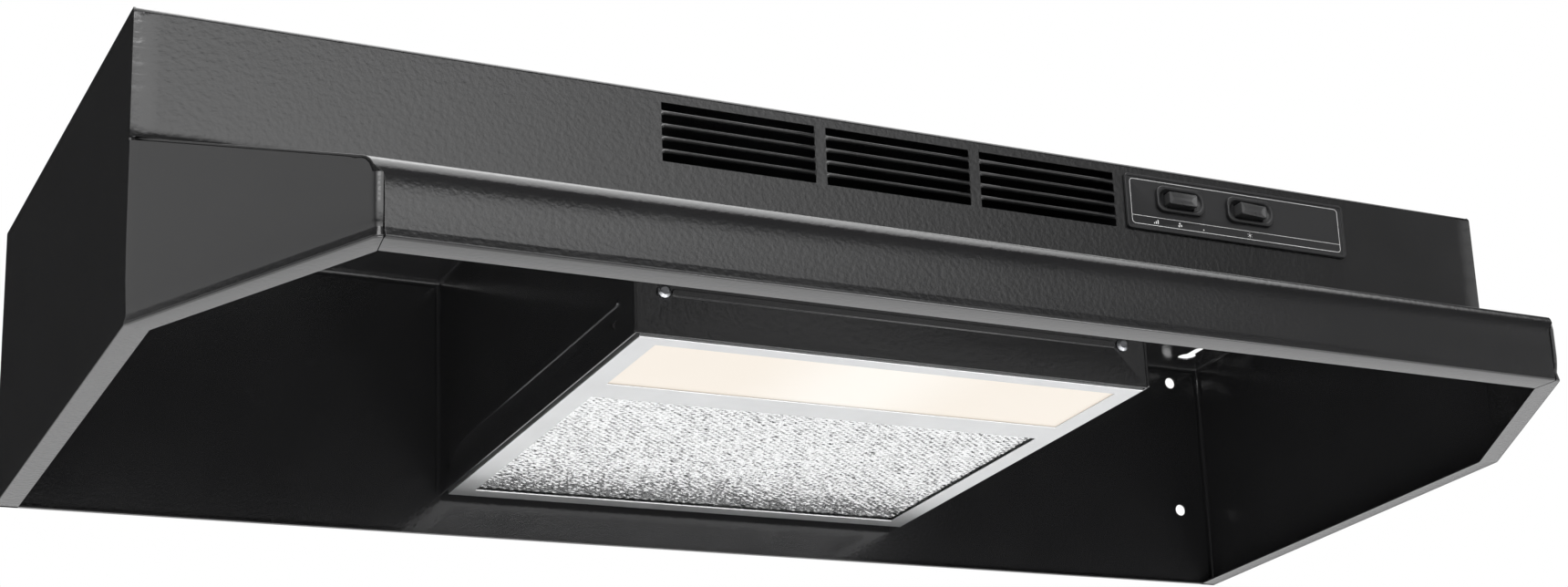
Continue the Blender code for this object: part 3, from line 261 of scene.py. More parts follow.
def add_softbox(name, place, target, size, power):
    """A square lamp that faces its target."""
    lamp = bpy.data.lights.new(name, "AREA")
    lamp.size, lamp.energy = size, power
    made = bpy.data.objects.new(name, lamp)
    bpy.context.scene.collection.objects.link(made)
    way = Vector(target) - Vector(place)
    made.matrix_world = Matrix.Translation(place) @ way.to_track_quat("-Z", "Y").to_matrix().to_4x4()


add_floor()
add_softbox("key_light", (-1.2, -2.2, 1.6), (0, 0, 0), 1.2, 22)
add_softbox("under_light", (-0.5, -1.0, -1.6), (0, 0, 0), 1.0, 14)
add_softbox("seam_light", (0.86, -0.90, -1.55), (0, 0.1, 0.1), 0.7, 9)
bpy.context.scene.cycles.use_denoising = True
print("floor at z", FLOOR_Z, "and", len(bpy.data.lights), "lamps")

# %% [markdown]
# ## Finishes
#
# Each finish is one function: a Principled shader with a base colour, a roughness and, where the real
# surface has it, a relief. Patterns read Object coordinates in metres, so 500 lumps a metre is a grain
# of two millimetres.


# %% A finish to start from
class Finish(Tree):
    """A material with one Principled shader, and the coordinates that its patterns read."""

    def __init__(self, name, colour, roughness, metallic=0.0, **constants):
        self.material = bpy.data.materials.new(name)
        self.material.use_nodes = True
        super().__init__(self.material)
        self.shader = self.tree.nodes["Principled BSDF"]
        values = {"Base Color": colour, "Roughness": roughness, "Metallic": metallic, **constants}
        for key, value in values.items():
            self.put(self.shader.inputs[key], value)
        self.where = self.add("ShaderNodeTexCoord", out=3)

    def set(self, key, value):
        """Links or sets one of the shader's inputs."""
        self.put(self.shader.inputs[key], value)


# %% Enamel and plastics
def black_enamel():
    """Baked gloss enamel: neutral black, with orange peel about 2 mm across and faint cloudy gloss."""
    made = Finish("black_enamel", (0.018, 0.018, 0.0185), 0.17, IOR=1.6)
    peel = made.noise(made.where, 420, 2.0, 0.45)
    cloud = made.noise(made.where, 26, 3.0)
    speck = made.noise(made.where, 2600, 1.0)
    made.set("Roughness", 0.12 + cloud * 0.06 + speck * 0.05)
    made.set("Base Color", made.mix(cloud, (0.011, 0.011, 0.0115), (0.016, 0.016, 0.0165)))
    made.set("Normal", made.bump(peel, 0.00012, 0.8))
    return made.material


def switch_plastic():
    """Moulded black plastic with a fine spark-eroded grain."""
    made = Finish("switch_plastic", (0.016, 0.016, 0.017), 0.42)
    grain = made.noise(made.where, 5200, 2.0, 0.6)
    made.set("Roughness", 0.34 + grain * 0.18)
    made.set("Normal", made.bump(grain, 0.00004, 0.5))
    return made.material


def rocker_plastic():
    """Polished black plastic, a little duller where fingers press."""
    made = Finish("rocker_plastic", (0.045, 0.045, 0.046), 0.30, IOR=1.6)
    rub = made.noise(made.where, 160, 3.0)
    made.set("Roughness", 0.22 + rub * 0.16)
    return made.material


def label_ink():
    """Pale printing ink, thin in places."""
    made = Finish("label_ink", (0.62, 0.62, 0.62), 0.5)
    thin = made.noise(made.where, 1800, 2.0)
    made.set("Base Color", made.mix(thin, (0.62, 0.62, 0.62), (0.86, 0.86, 0.86)))
    return made.material


# %% Metals
def rolled(name, colour, roughness, scale, depth=0.00004):
    """Bright rolled metal: fine lines along the rolling direction, and cloudy gloss."""
    made = Finish(name, colour, roughness, 1.0)
    lines = made.noise(made.stretched(made.where, scale), 1.0, 3.0, 0.6)
    cloud = made.noise(made.where, 35, 3.0)
    dark = tuple(channel * 0.86 for channel in colour)
    made.set("Base Color", made.mix(cloud, dark, colour))
    made.set("Roughness", roughness - 0.06 + lines * 0.10 + cloud * 0.06)
    made.set("Normal", made.bump(lines, depth, 0.3))
    return made.material


def zinc_steel():
    """Galvanised steel: grey crystals a few millimetres across, each with its own gloss."""
    made = Finish("zinc_steel", (0.55, 0.56, 0.58), 0.40, 1.0)
    crystal = made.add("ShaderNodeTexVoronoi", None, {"Vector": made.where, "Scale": 190.0}, out=1)
    grey = made.add("ShaderNodeRGBToBW", None, {0: crystal})
    made.set("Base Color", made.mix(grey, (0.27, 0.275, 0.29), (0.46, 0.47, 0.485)))
    made.set("Roughness", 0.28 + grey * 0.22)
    return made.material


def striped(name, light, dark, roughness, pitch, axis, metallic=1.0):
    """A stack of sheets or a layer of wire: rounded stripes of that pitch across one axis. The colour is darkest
    where the bump sinks between the stripes: partly dark joints between the sheets, partly painted shade between
    the turns of wire.
    """
    made = Finish(name, light, roughness, metallic)
    settings = {"wave_type": "BANDS", "bands_direction": axis, "wave_profile": "SIN"}
    values = {"Vector": made.where, "Scale": 0.314 / pitch, "Distortion": 0.0}
    waves = made.add("ShaderNodeTexWave", settings, values)
    spread = made.noise(made.where, 300, 2.0)
    # painted shade: the colour darkens in the bump's grooves, as if shade fell between the stripes
    made.set("Base Color", made.mix(waves * (0.6 + spread * 0.4), dark, light))
    made.set("Normal", made.bump(waves, pitch * 0.4, 0.6))
    return made.material


def sintered_bronze():
    """Pressed bronze powder: its pores are darker and shinier with oil."""
    made = Finish("sintered_bronze", (0.48, 0.34, 0.15), 0.5, 1.0)
    pores = made.noise(made.where, 3500, 2.0)
    made.set("Base Color", made.mix(pores, (0.30, 0.20, 0.09), (0.60, 0.44, 0.22)))
    made.set("Roughness", 0.35 + pores * 0.3)
    return made.material


# %% The other finishes
def carbon_felt():
    """Loose black fibres with grains of charcoal between them."""
    made = Finish("carbon_felt", (0.02, 0.02, 0.02), 0.92)
    fibres = made.noise(made.where, 1100, 4.0, 0.7)
    made.set("Base Color", made.mix(fibres, (0.006, 0.006, 0.006), (0.045, 0.045, 0.045)))
    made.set("Normal", made.bump(fibres, 0.0006, 0.9))
    return made.material


def glowing(name, colour, strength, **constants):
    """Frosted plastic or glass with a lamp behind it: warm, and a little uneven."""
    made = Finish(name, colour, 0.4, **constants)
    cloud = made.noise(made.where, 14, 2.0)
    warm = tuple(channel * share for channel, share in zip(colour, (1.0, 0.945, 0.865)))
    made.set("Emission Color", made.mix(cloud.step(0.25, 0.75), warm, colour))
    made.shader.inputs["Emission Strength"].default_value = strength
    frost = made.noise(made.where, 1500, 2.0)
    made.set("Normal", made.bump(frost, 0.0001, 0.4))
    return made.material


def lit_lens():
    """Frosted plastic with one lamp above its middle: whitest under the lamp, cream towards the ends."""
    made = Finish("frosted_lens", (0.16, 0.155, 0.145), 0.5)
    along = made.add("ShaderNodeSeparateXYZ", None, {0: made.where}, out=0)
    cloud = made.noise(made.where, 12, 2.0)
    away = made.add("ShaderNodeMath", {"operation": "ABSOLUTE"}, {0: along + 0.004})
    near = away.step(0.070, 0.004) * 0.75 + cloud * 0.25
    made.set("Emission Color", made.mix(near, (0.79, 0.70, 0.60), (0.90, 0.86, 0.80)))
    made.shader.inputs["Emission Strength"].default_value = 0.75
    frost = made.noise(made.where, 1500, 2.0)
    made.set("Normal", made.bump(frost, 0.0001, 0.3))
    return made.material


def white_ceramic():
    """Glazed white clay with small grey specks."""
    made = Finish("white_ceramic", (0.80, 0.79, 0.75), 0.28)
    speck = made.noise(made.where, 900, 3.0)
    made.set("Base Color", made.mix(speck, (0.70, 0.69, 0.64), (0.86, 0.85, 0.82)))
    return made.material


def rubber():
    """Black rubber, dulled by dust."""
    made = Finish("rubber", (0.018, 0.018, 0.018), 0.65)
    dust = made.noise(made.where, 700, 3.0)
    made.set("Roughness", 0.55 + dust * 0.25)
    return made.material


FINISHES = {
    "black_enamel": black_enamel(),
    "switch_plastic": switch_plastic(),
    "rocker_plastic": rocker_plastic(),
    "brass": rolled("brass", (0.78, 0.58, 0.24), 0.28, (900, 900, 900)),
    "filter_aluminium": rolled("filter_aluminium", (0.66, 0.665, 0.67), 0.38, (60, 2400, 2400)),
    "expanded_foil": rolled("expanded_foil", (0.84, 0.845, 0.85), 0.24, (1200, 1200, 1200)),
    "fan_aluminium": rolled("fan_aluminium", (0.78, 0.79, 0.80), 0.32, (900, 900, 900)),
    "carbon_felt": carbon_felt(),
    "frosted_lens": lit_lens(),
    "zinc_steel": zinc_steel(),
    "lamination_steel": striped("lamination_steel", (0.30, 0.30, 0.32), (0.10, 0.10, 0.11), 0.45, 0.0007, "Z"),
    "enamelled_copper": striped("enamelled_copper", (0.60, 0.24, 0.09), (0.20, 0.07, 0.03), 0.3, 0.0006, "X"),
    "sintered_bronze": sintered_bronze(),
    "white_ceramic": white_ceramic(),
    "frosted_glass": glowing("frosted_glass", (1.0, 0.93, 0.80), 1.6),
    "rubber": rubber(),
}
INK = label_ink()
for name, node in NODES.items():
    node.data.materials.clear()
    node.data.materials.append(FINISHES[SLOT_OF[name]])
print(len(FINISHES), "finishes on", len(NODES), "nodes")

# %% [markdown]
# ## Making a piece
#
# A sheet is a grid of points worked out by a formula. Solidify gives it its thickness behind the face
# that we see, and a small Bevel takes the sharpness from its cut edges. Both modifiers stay live.


# %% From arrays to pieces
WELD = 0.002 * MM                    # points closer than this are one point


def add_piece(name, points, faces, stands_for, material=None):
    """Makes a mesh from an array of points and its faces, with the body, slot and finish of a frame node."""
    mesh = bpy.data.meshes.new(name)
    mesh.from_pydata(points.tolist(), [], faces.tolist() if hasattr(faces, "tolist") else faces)
    mesh.validate()
    mesh.shade_smooth()
    made = bpy.data.objects.new(name, mesh)
    bpy.context.scene.collection.objects.link(made)
    slot = SLOT_OF[stands_for]
    mesh.materials.append(material or FINISHES[slot])
    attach(made, BODY_OF[stands_for])
    return made


def grid_faces(rows, columns, keep=None):
    """Quads of a grid of points stored row by row. keep is a mask of the cells that are there."""
    cell = np.arange(rows * columns).reshape(rows, columns)
    quads = np.stack([cell[:-1, :-1], cell[:-1, 1:], cell[1:, 1:], cell[1:, :-1]], axis=-1)
    return quads.reshape(-1, 4) if keep is None else quads[keep]


def thicken(piece, thickness):
    """Gives a sheet its thickness, behind its face."""
    wall = piece.modifiers.new("sheet", "SOLIDIFY")
    wall.thickness = thickness
    wall.offset = -1.0
    wall.use_even_offset = True
    return piece


def soften(piece, width, segments=2, angle=40.0):
    """Breaks the edges that turn by more than an angle."""
    edge = piece.modifiers.new("broken_edges", "BEVEL")
    edge.width = width
    edge.segments = segments
    edge.limit_method = "ANGLE"
    edge.angle_limit = math.radians(angle)
    edge.harden_normals = True
    return piece


def point_out(piece, inside):
    """Turns an open sheet's faces away from a point on its inner side."""
    mesh = piece.data
    middle = np.array([face.center for face in mesh.polygons])
    normal = np.array([face.normal for face in mesh.polygons])
    if ((middle - np.array(inside)) * normal).sum() < 0:
        mesh.flip_normals()
    return piece


def arc(centre, radius, start, end, steps):
    """Points (u, v) along an arc, from one angle to another in degrees."""
    angle = np.radians(np.linspace(start, end, steps + 1))
    return np.stack([centre[0] + radius * np.cos(angle), centre[1] + radius * np.sin(angle)], axis=1)


def loft(rings):
    """Joins closed rings of points in order, and closes the first and the last ring with a cap."""
    count = len(rings[0])
    here = np.arange(count)
    after = (here + 1) % count
    faces = []
    for level in range(len(rings) - 1):
        low, high = level * count, (level + 1) * count
        faces += np.stack([here + low, after + low, after + high, here + high], axis=1).tolist()
    faces += [here[::-1].tolist(), (here + (len(rings) - 1) * count).tolist()]
    return np.concatenate(rings), faces


def crease(piece):
    """Smooth round faces, with a crisp line where they turn by more than 50 degrees."""
    piece.data.set_sharp_from_angle(angle=math.radians(50))
    return piece


def weld(piece):
    """Merges points that lie at one place, and drops the faces that this leaves without area."""
    bm = bmesh.new()
    bm.from_mesh(piece.data)
    bmesh.ops.remove_doubles(bm, verts=bm.verts, dist=WELD)
    bmesh.ops.dissolve_degenerate(bm, dist=WELD, edges=bm.edges)
    bm.to_mesh(piece.data)
    bm.free()
    return piece


print("piece helpers ready")

# %% [markdown]
# ## Visor
#
# The visor is one sheet: a flange behind the front panel, a slope down to the lip, a round, the lip's
# face and a hem turned in under it. In section it never changes, and only its half length does, because
# two mitres cut its corners. So it is a profile carried along X, with a half length for each point of
# the profile. The face keeps a trace of the round in its upper third, as rolled sheet does, and this
# draws the dark line under the bright one.

# %% Section of the visor
LIP_HALF = 312.5 * MM                # straight part of the lip
LIP_FACE, LIP_ROUND = 29 * MM, 10 * MM
VISOR_JOINT = 88.5 * MM              # where the slope leaves the front panel
HEM_LIP, HEM_SIDE = 15.5 * MM, 11.5 * MM   # how far the rims are turned in
FOLD = 1.1 * MM                      # radius of the folds
DENT, SIDE_DENT = 0.55 * MM, 0.95 * MM   # how far a face lies behind its bottom fold
CURL = 4.8 * MM                      # radius of the side panel's front end
LEAN_END = math.radians(12)          # how far the face has leant back where it meets the round
LEAN_FROM = 16 * MM                  # height at which it starts to lean
DENT_HIGH, DENT_LOW = 5.2 * MM, 4.6 * MM   # heights between which the dent begins
MITRE_GAP = 0.2 * MM                 # between the visor and the side panel along the mitre
CURL_ROOM = CURL * 0.625 + 0.6 * MM  # what the side panel's front end takes from the lip's length
CURL_FADE = 4 * MM                   # height over which the visor narrows for it
LEAN_HIGH = LIP_FACE + LIP_ROUND * math.sin(LEAN_END)
LEAN_BACK = math.tan(LEAN_END) * (LEAN_HIGH - LEAN_FROM) / 3
ROUND_AT = LIP + DENT + LEAN_BACK + LIP_ROUND * math.cos(LEAN_END)
run, rise = FACE - ROUND_AT, VISOR_JOINT - LIP_FACE
SLOPE = math.atan2(rise, run) - math.asin(LIP_ROUND / math.hypot(run, rise))


def slope_height(y, inset=0.0):
    """Height of the slope at y: a straight line down from the joint."""
    return VISOR_JOINT + (y - FACE) * math.tan(SLOPE) - inset / math.cos(SLOPE)


def mitre_half(y):
    """Half length at y: it shrinks evenly from the hood's side to the end of the lip."""
    return HALF + (LIP_HALF - HALF) * (FACE - y) / (FACE - LIP)


def lip_section():
    """Slope, round, eased face and bottom fold as (y, z) points, from the top down."""
    slope_y = np.linspace(FACE + SHEET + GAP, ROUND_AT, 8)[:-1]
    slope = np.stack([slope_y, slope_height(slope_y)], axis=1)
    bend = arc((ROUND_AT, LIP_FACE), LIP_ROUND, 90 + math.degrees(SLOPE), 180 - math.degrees(LEAN_END), 14)
    share = np.linspace(1, 0, 11)[1:]
    ease_y = LIP + DENT + LEAN_BACK * share ** 3
    ease = np.stack([ease_y, LEAN_FROM + (LEAN_HIGH - LEAN_FROM) * share], axis=1)
    foot = np.array([[LIP + DENT, DENT_HIGH], [LIP + DENT * 0.93, DENT_LOW], [LIP + DENT * 0.07, FOLD + 0.6 * MM]])
    return np.concatenate([slope, bend, ease, foot])


def corner_of_hem(at_lip=True):
    """Inner corner of the rim: where the hem of a mitre meets the lip's hem, or the side's hem."""
    along = Vector((LIP_HALF - HALF, LIP - FACE)).normalized()
    inward = Vector((along.y, -along.x))
    start = Vector((HALF, FACE)) + inward * HEM_SIDE
    if at_lip:
        inner_y = LIP + HEM_LIP
        return start.x + along.x * (inner_y - start.y) / along.y, inner_y
    inner_x = HALF - HEM_SIDE
    return inner_x, start.y + along.y * (inner_x - start.x) / along.x


def make_visor():
    """Each point of the section becomes a row of points along X, spread over its own length."""
    seat = FACE + SHEET + GAP
    upright = np.array([[seat, VISOR_HIGH], [seat, VISOR_JOINT + 4 * MM]])
    fold = arc((LIP + FOLD, FOLD), FOLD, 180, 270, 4)
    inner_x, inner_y = corner_of_hem()
    section = np.concatenate([upright, lip_section(), fold, [[inner_y, 0.0]]])
    y, z = section[:, :1], section[:, 1:]
    half = mitre_half(y[:, 0]) - MITRE_GAP
    half -= CURL_ROOM * np.clip((LIP_FACE + CURL_FADE - z[:, 0]) / CURL_FADE, 0, 1)
    half[:3] = HALF - 2 * (SHEET + GAP)
    half[-1] = inner_x
    across = np.linspace(-1, 1, 61)
    x = half[:, None] * np.sign(across) * (1 - (1 - np.abs(across)) ** 1.35)   # closer together at the ends
    points = np.stack([x, np.broadcast_to(y, x.shape), np.broadcast_to(z, x.shape)], axis=-1)
    visor = add_piece("visor_sheet", points.reshape(-1, 3), grid_faces(*x.shape), "visor")
    point_out(visor, (0, FACE, 0.02))
    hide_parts("visor")
    return soften(thicken(visor, SHEET), 0.25 * MM, angle=60)


visor = make_visor()
print("visor slope", round(math.degrees(SLOPE), 1), "degrees,", len(visor.data.vertices), "points")

# %% [markdown]
# ## Side panels
#
# A side panel is bent once, where the mitre starts, and its rim is turned in. Seen from above its line
# is a path, so the panel is that path raised: for each point of the path a column of points goes from
# the hem's edge, round the fold and up to the top, or up to the visor's section along the mitre.


# %% Side panels and their mitres
BACK_POINTS, BEND_STEPS = 14, 4
BEND_INDEX = BACK_POINTS + 2 + BEND_STEPS // 2    # the path's point in the middle of the bend
SIDE_BEND = 2.2 * MM                 # radius of the bend
STEP = 0.05 * MM                     # half of the short run in which the top drops to the visor
WALL_FOOT = 5.6 * MM                 # height at which the wall begins above its dent


def side_path():
    """The panel's line seen from above, on the right: (x, y) points from the wall to the lip."""
    along = math.atan2(LIP - FACE, LIP_HALF - HALF)
    turn = math.degrees(along) % 360
    back = np.stack([np.full(BACK_POINTS, HALF), np.linspace(WALL, FACE + 8 * MM, BACK_POINTS)], axis=1)
    drop = FACE + SHEET + GAP
    step = np.array([[HALF, drop + STEP], [HALF, drop - STEP]])
    reach = SIDE_BEND * math.tan(math.radians(abs(270 - turn)) / 2)
    bend = arc((HALF - SIDE_BEND, FACE + reach), SIDE_BEND, 0, turn - 270, BEND_STEPS)
    reach = CURL * math.tan(math.radians(turn - 180) / 2)
    corner = np.array([mitre_half(LIP + MITRE_GAP), LIP + MITRE_GAP])
    start = corner - reach * np.array([math.cos(along), math.sin(along)])
    share = 1 - (1 - np.linspace(0.03, 1, 26)) ** 1.5
    mitre = bend[-1] + (start - bend[-1]) * share[:, None]
    curl = arc((corner[0] - reach, corner[1] + CURL), CURL, turn - 270, -90, 6)[1:]
    return np.concatenate([back, step, bend, mitre, curl])


def top_at(y):
    """How high the side reaches at y: to the cabinet, or to the visor's sheet."""
    inset = SHEET + GAP
    radius = LIP_ROUND - inset
    ahead = np.clip((ROUND_AT - y) / radius, -1, 1)
    bend = LIP_FACE + radius * np.sqrt(np.clip(1 - ahead ** 2, 0, 1))
    slope = slope_height(y, inset)
    under_visor = np.where(ahead > math.sin(-SLOPE), np.minimum(bend, slope), slope)
    return np.where(y > FACE + SHEET + GAP, TOP, under_visor)


def hem_row(path, inward):
    """The hem's edge: the path moved inwards, and held at its two corners so that it never crosses itself."""
    flat = path + inward * HEM_SIDE
    bend_x, bend_y = corner_of_hem(at_lip=False)
    lip_x, lip_y = corner_of_hem()
    before = np.arange(len(path)) < BEND_INDEX
    flat[:, 1] = np.where(before, np.maximum(flat[:, 1], bend_y), np.minimum(flat[:, 1], bend_y))
    flat[:, 0] = np.where(before | (flat[:, 1] >= bend_y), bend_x, flat[:, 0])
    flat[:, 1] = np.where(path[:, 1] < FACE, np.maximum(flat[:, 1], lip_y + GAP), flat[:, 1])
    flat[:, 0] = np.where(flat[:, 1] <= lip_y + GAP * 1.01, lip_x + GAP, flat[:, 0])
    return np.column_stack([flat, np.zeros(len(path))])


def make_side(name, side):
    """Rows from the hem's edge, round the fold and up the wall, mirrored for the left side."""
    path = side_path()
    way = np.gradient(path, axis=0)
    way /= np.linalg.norm(way, axis=1)[:, None] + 1e-12
    inward = np.stack([way[:, 1], -way[:, 0]], axis=1)

    def row(depth, level):
        """The path moved inwards by a depth and raised to a level."""
        return np.column_stack([path + inward * depth, np.broadcast_to(level, len(path))])

    grid = [hem_row(path, inward)]
    grid += [row(depth, level) for depth, level in arc((FOLD, FOLD), FOLD, 270, 180, 4)]
    dents = ((0.05, FOLD + 0.4 * MM), (0.95, 4.8 * MM), (1.0, WALL_FOOT))
    grid += [row(SIDE_DENT * share, level) for share, level in dents]
    height = top_at(path[:, 1])
    for share in np.linspace(0, 1, 14)[1:]:
        depth = SIDE_DENT * max(0.0, 1 - share * 2.2) ** 2
        grid.append(row(depth, WALL_FOOT + (height - WALL_FOOT) * share))
    points = np.array(grid)
    points[..., 0] *= side
    node = name.replace("_sheet", "")
    made = add_piece(name, points.reshape(-1, 3), grid_faces(*points.shape[:2]), node)
    point_out(weld(made), (0, 0.05, 0.06))
    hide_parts(node)
    return soften(thicken(made, SHEET), 0.2 * MM, angle=60)


for name, side in (("side_panel_left_sheet", -1), ("side_panel_right_sheet", 1)):
    made = make_side(name, side)
print("side panels", len(made.data.vertices), "points each")

# %% [markdown]
# ## Front panel
#
# The front panel is flat, with three banks of louvers and two holes for the switches. It is drawn as a
# grid whose lines pass through every edge: the cells of a slot are left out, and the rows of a blade
# bow outwards, as the punch leaves them. Its top edge turns back.

# %% Lines of the front panel's grid
BANKS, BANK_WIDTH, BANK_PITCH, BANK_MIDDLE = 3, 83.2 * MM, 89.5 * MM, 0.8 * MM
SLOTS, SLOT_LOW, SLOT_HIGH, BLADE = 5, 114.0 * MM, 145.5 * MM, 2.6 * MM
BLADE_BOW, BLADE_END = 1.25 * MM, 1.2 * MM   # how far a blade bows, and over what length at its ends
HUG = 0.3 * MM                       # the grid's first line beside a bank, which keeps the panel flat there
PORT_SIDE, PORT_END = 2.1 * MM, 1.6 * MM     # how far a switch reaches past its hole
TOP_FOLD = 2.4 * MM                  # width of the bend along the top
SLOT = (SLOT_HIGH - SLOT_LOW - (SLOTS - 1) * BLADE) / SLOTS
RETURN = 12 * MM


def lines_through(stops, spacing):
    """Rising places that include every stop, with no two further apart than the spacing."""
    stops = np.unique(np.round(stops, 6))
    runs = [np.linspace(a, b, max(2, math.ceil((b - a) / spacing) + 1))[:-1] for a, b in zip(stops, stops[1:])]
    return np.concatenate(runs + [stops[-1:]])


def inside(values, low, high):
    """Mask of the values between two limits."""
    return (values > low) & (values < high)


def front_ports():
    """The two switch holes, as (x0, x1, z0, z1)."""
    ports = []
    for node in ("fan_switch", "light_switch"):
        low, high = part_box(node)
        ports.append((low.x + PORT_SIDE, high.x - PORT_SIDE, low.z + PORT_END, high.z - PORT_END))
    return ports


def front_lines(lefts, lows, ports):
    """Rising x and z of the grid's lines, which pass through every edge of a slot, a blade and a hole."""
    across = [-HALF, HALF] + [x for port in ports for x in port[:2]]
    for left in lefts:
        right = left + BANK_WIDTH
        across += [left - HUG, left, left + BLADE_END, right - BLADE_END, right, right + HUG]
    up = [slope_height(FACE + SHEET) + GAP, TOP] + [z for port in ports for z in port[2:]]
    up += [e for low in lows for e in (low, low + SLOT)] + [lows[0] - HUG, lows[-1] + SLOT + HUG]
    up += [low + SLOT + BLADE * share for low in lows[:-1] for share in (0.2, 0.4, 0.6, 0.8)]
    return lines_through(across, 12 * MM), lines_through(up, 8 * MM)


def blade_bow(x, z, lefts, lows):
    """How far each point stands out: a parabola across each blade, which fades out at the blade's ends."""
    bow = np.zeros_like(x)
    for left in lefts:
        along = np.clip(np.minimum(x - left, left + BANK_WIDTH - x) / BLADE_END, 0, 1)
        for low in lows[:-1]:
            share = (z - low - SLOT) / BLADE * 2 - 1
            bow += np.where(np.abs(share) < 1, (1 - share ** 2) * BLADE_BOW * along, 0)
    return bow


def make_front():
    """A grid over the panel. Cells in slots and switch holes are dropped, and blade rows are bowed."""
    lefts = BANK_MIDDLE + (np.arange(BANKS) - (BANKS - 1) / 2) * BANK_PITCH - BANK_WIDTH / 2
    lows = SLOT_LOW + np.arange(SLOTS) * (SLOT + BLADE)
    ports = front_ports()
    x, z = front_lines(lefts, lows, ports)
    middle_x, middle_z = np.meshgrid((x[1:] + x[:-1]) / 2, (z[1:] + z[:-1]) / 2)
    keep = np.ones_like(middle_x, bool)
    slots = [(left, left + BANK_WIDTH, low, low + SLOT) for left in lefts for low in lows]
    for x0, x1, z0, z1 in slots + ports:
        keep &= ~(inside(middle_x, x0, x1) & inside(middle_z, z0, z1))
    x, z = np.meshgrid(x, z)
    grid = np.stack([x, FACE - blade_bow(x, z, lefts, lows), z], axis=-1)
    turned = grid[-1:] + (0, RETURN, 0)          # the top edge again, turned back
    turned[..., 0] = np.clip(turned[..., 0], -HALF + 2 * (SHEET + GAP), HALF - 2 * (SHEET + GAP))
    grid = np.concatenate([grid, turned])
    keep = np.concatenate([keep, np.ones((1, keep.shape[1]), bool)])
    faces = grid_faces(*grid.shape[:2], keep)
    front = add_piece("front_panel_sheet", grid.reshape(-1, 3), faces, "front_panel")
    point_out(front, (0, WALL, 0.1))
    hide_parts("front_panel")
    soften(front, TOP_FOLD, 4, 60)
    return soften(thicken(front, SHEET), 0.18 * MM, 2, 60)


front = make_front()
print("front panel:", BANKS * SLOTS, "slots,", len(front.data.polygons), "faces")

# %% [markdown]
# ## Inside corners
#
# Where two panels meet inside the canopy, a bend of about 2 mm fills the corner, and enamel pools in it.
# It is a hollow quarter round along each seam. It catches the floor's light as one thin line, which tells
# the eye where the dark panels meet. The box's two front corners are bends too, seen from outside.


# %% Hollow bends along the seams
BEND_RADIUS, SEAM_FOOT = 2.2 * MM, 3 * MM
BOX_WALL, BOX_FLOOR = 145.6 * MM, 24 * MM    # outer face of the filter box's walls, and their foot
TRAY_BACK = -15 * MM                 # the right-hand seam starts behind the wiring tray
CORNER_X, CORNER_Y, CORNER_RADIUS = 145.5 * MM, -79.85 * MM, 0.9 * MM
CORNER_LOW, CORNER_HIGH = 24.2 * MM, 108.0 * MM


def hollow_bend(start, end, first, second):
    """Rings along a seam: a quarter circle about start + radius * (first + second), and the corner itself."""
    start, end, first, second = (np.array(v, float) for v in (start, end, first, second))
    turn = np.radians(np.linspace(0, 90, 7))[:, None]
    hollow = BEND_RADIUS * (first + second - np.cos(turn) * first - np.sin(turn) * second)
    ring = np.concatenate([hollow, [[0.0, 0.0, 0.0]]])
    return [start + (end - start) * share + ring for share in np.linspace(0, 1, 12)]


def join_lofts(name, columns, stands_for):
    """Several closed lofts as one piece, with their faces turned outwards."""
    points, faces, count = [], [], 0
    for rings in columns:
        rows, quads = loft(rings)
        points.append(rows)
        faces += [[i + count for i in quad] for quad in quads]
        count += len(rows)
    made = add_piece(name, np.concatenate(points), faces, stands_for)
    bm = bmesh.new()
    bm.from_mesh(made.data)
    bmesh.ops.recalc_face_normals(bm, faces=bm.faces)
    bm.to_mesh(made.data)
    bm.free()
    return crease(made)


def make_bends():
    """The seams of the canopy, given as their ends and the two ways that its panels run from them."""
    side, back, top = HALF - SHEET - GAP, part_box("back_panel")[0].y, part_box("top_panel")[0].z
    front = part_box("top_panel")[0].y
    seams = [((-side, back, top), (side, back, top), (0, -1, 0), (0, 0, -1))]
    for s in (-1, 1):
        seams.append(((s * side, front, top), (s * side, back, top), (-s, 0, 0), (0, 0, -1)))
        seams.append(((s * side, back, SEAM_FOOT), (s * side, back, top), (-s, 0, 0), (0, -1, 0)))
        start = TRAY_BACK if s > 0 else front
        seams.append(((s * BOX_WALL, start, top), (s * BOX_WALL, back, top), (s, 0, 0), (0, 0, -1)))
        seams.append(((s * BOX_WALL, back, BOX_FLOOR), (s * BOX_WALL, back, top), (s, 0, 0), (0, -1, 0)))
    return join_lofts("inside_bends", [hollow_bend(*seam) for seam in seams], "top_panel")


def make_box_corners():
    """Upright rounds on the filter box's two front corners."""
    columns = []
    for s in (-1, 1):
        ring = arc((s * CORNER_X, CORNER_Y), CORNER_RADIUS, 0, 330, 11)
        columns.append([np.column_stack([ring, np.full(12, z)]) for z in np.linspace(CORNER_LOW, CORNER_HIGH, 8)])
    return join_lofts("box_corners", columns, "fan_box_front")


bends = make_bends()
corners = make_box_corners()
print("inside bends:", len(bends.data.polygons), "faces, box corners:", len(corners.data.polygons))

# %% [markdown]
# ## Filter
#
# The filter's net is expanded foil: a sheet slit and pulled until its strands open into diamonds. A
# strand is a ribbon that zigzags along X, and the next one zigzags against it, so they touch at every
# turn. Each ribbon is tilted, and tilted a little differently at each turn, which makes the sparkle.

# %% Expanded foil
PULL_LONG, PULL_SHORT = 5.0 * MM, 4.4 * MM     # length and width of one diamond
RIBBON = 1.6 * MM                    # width of a strand


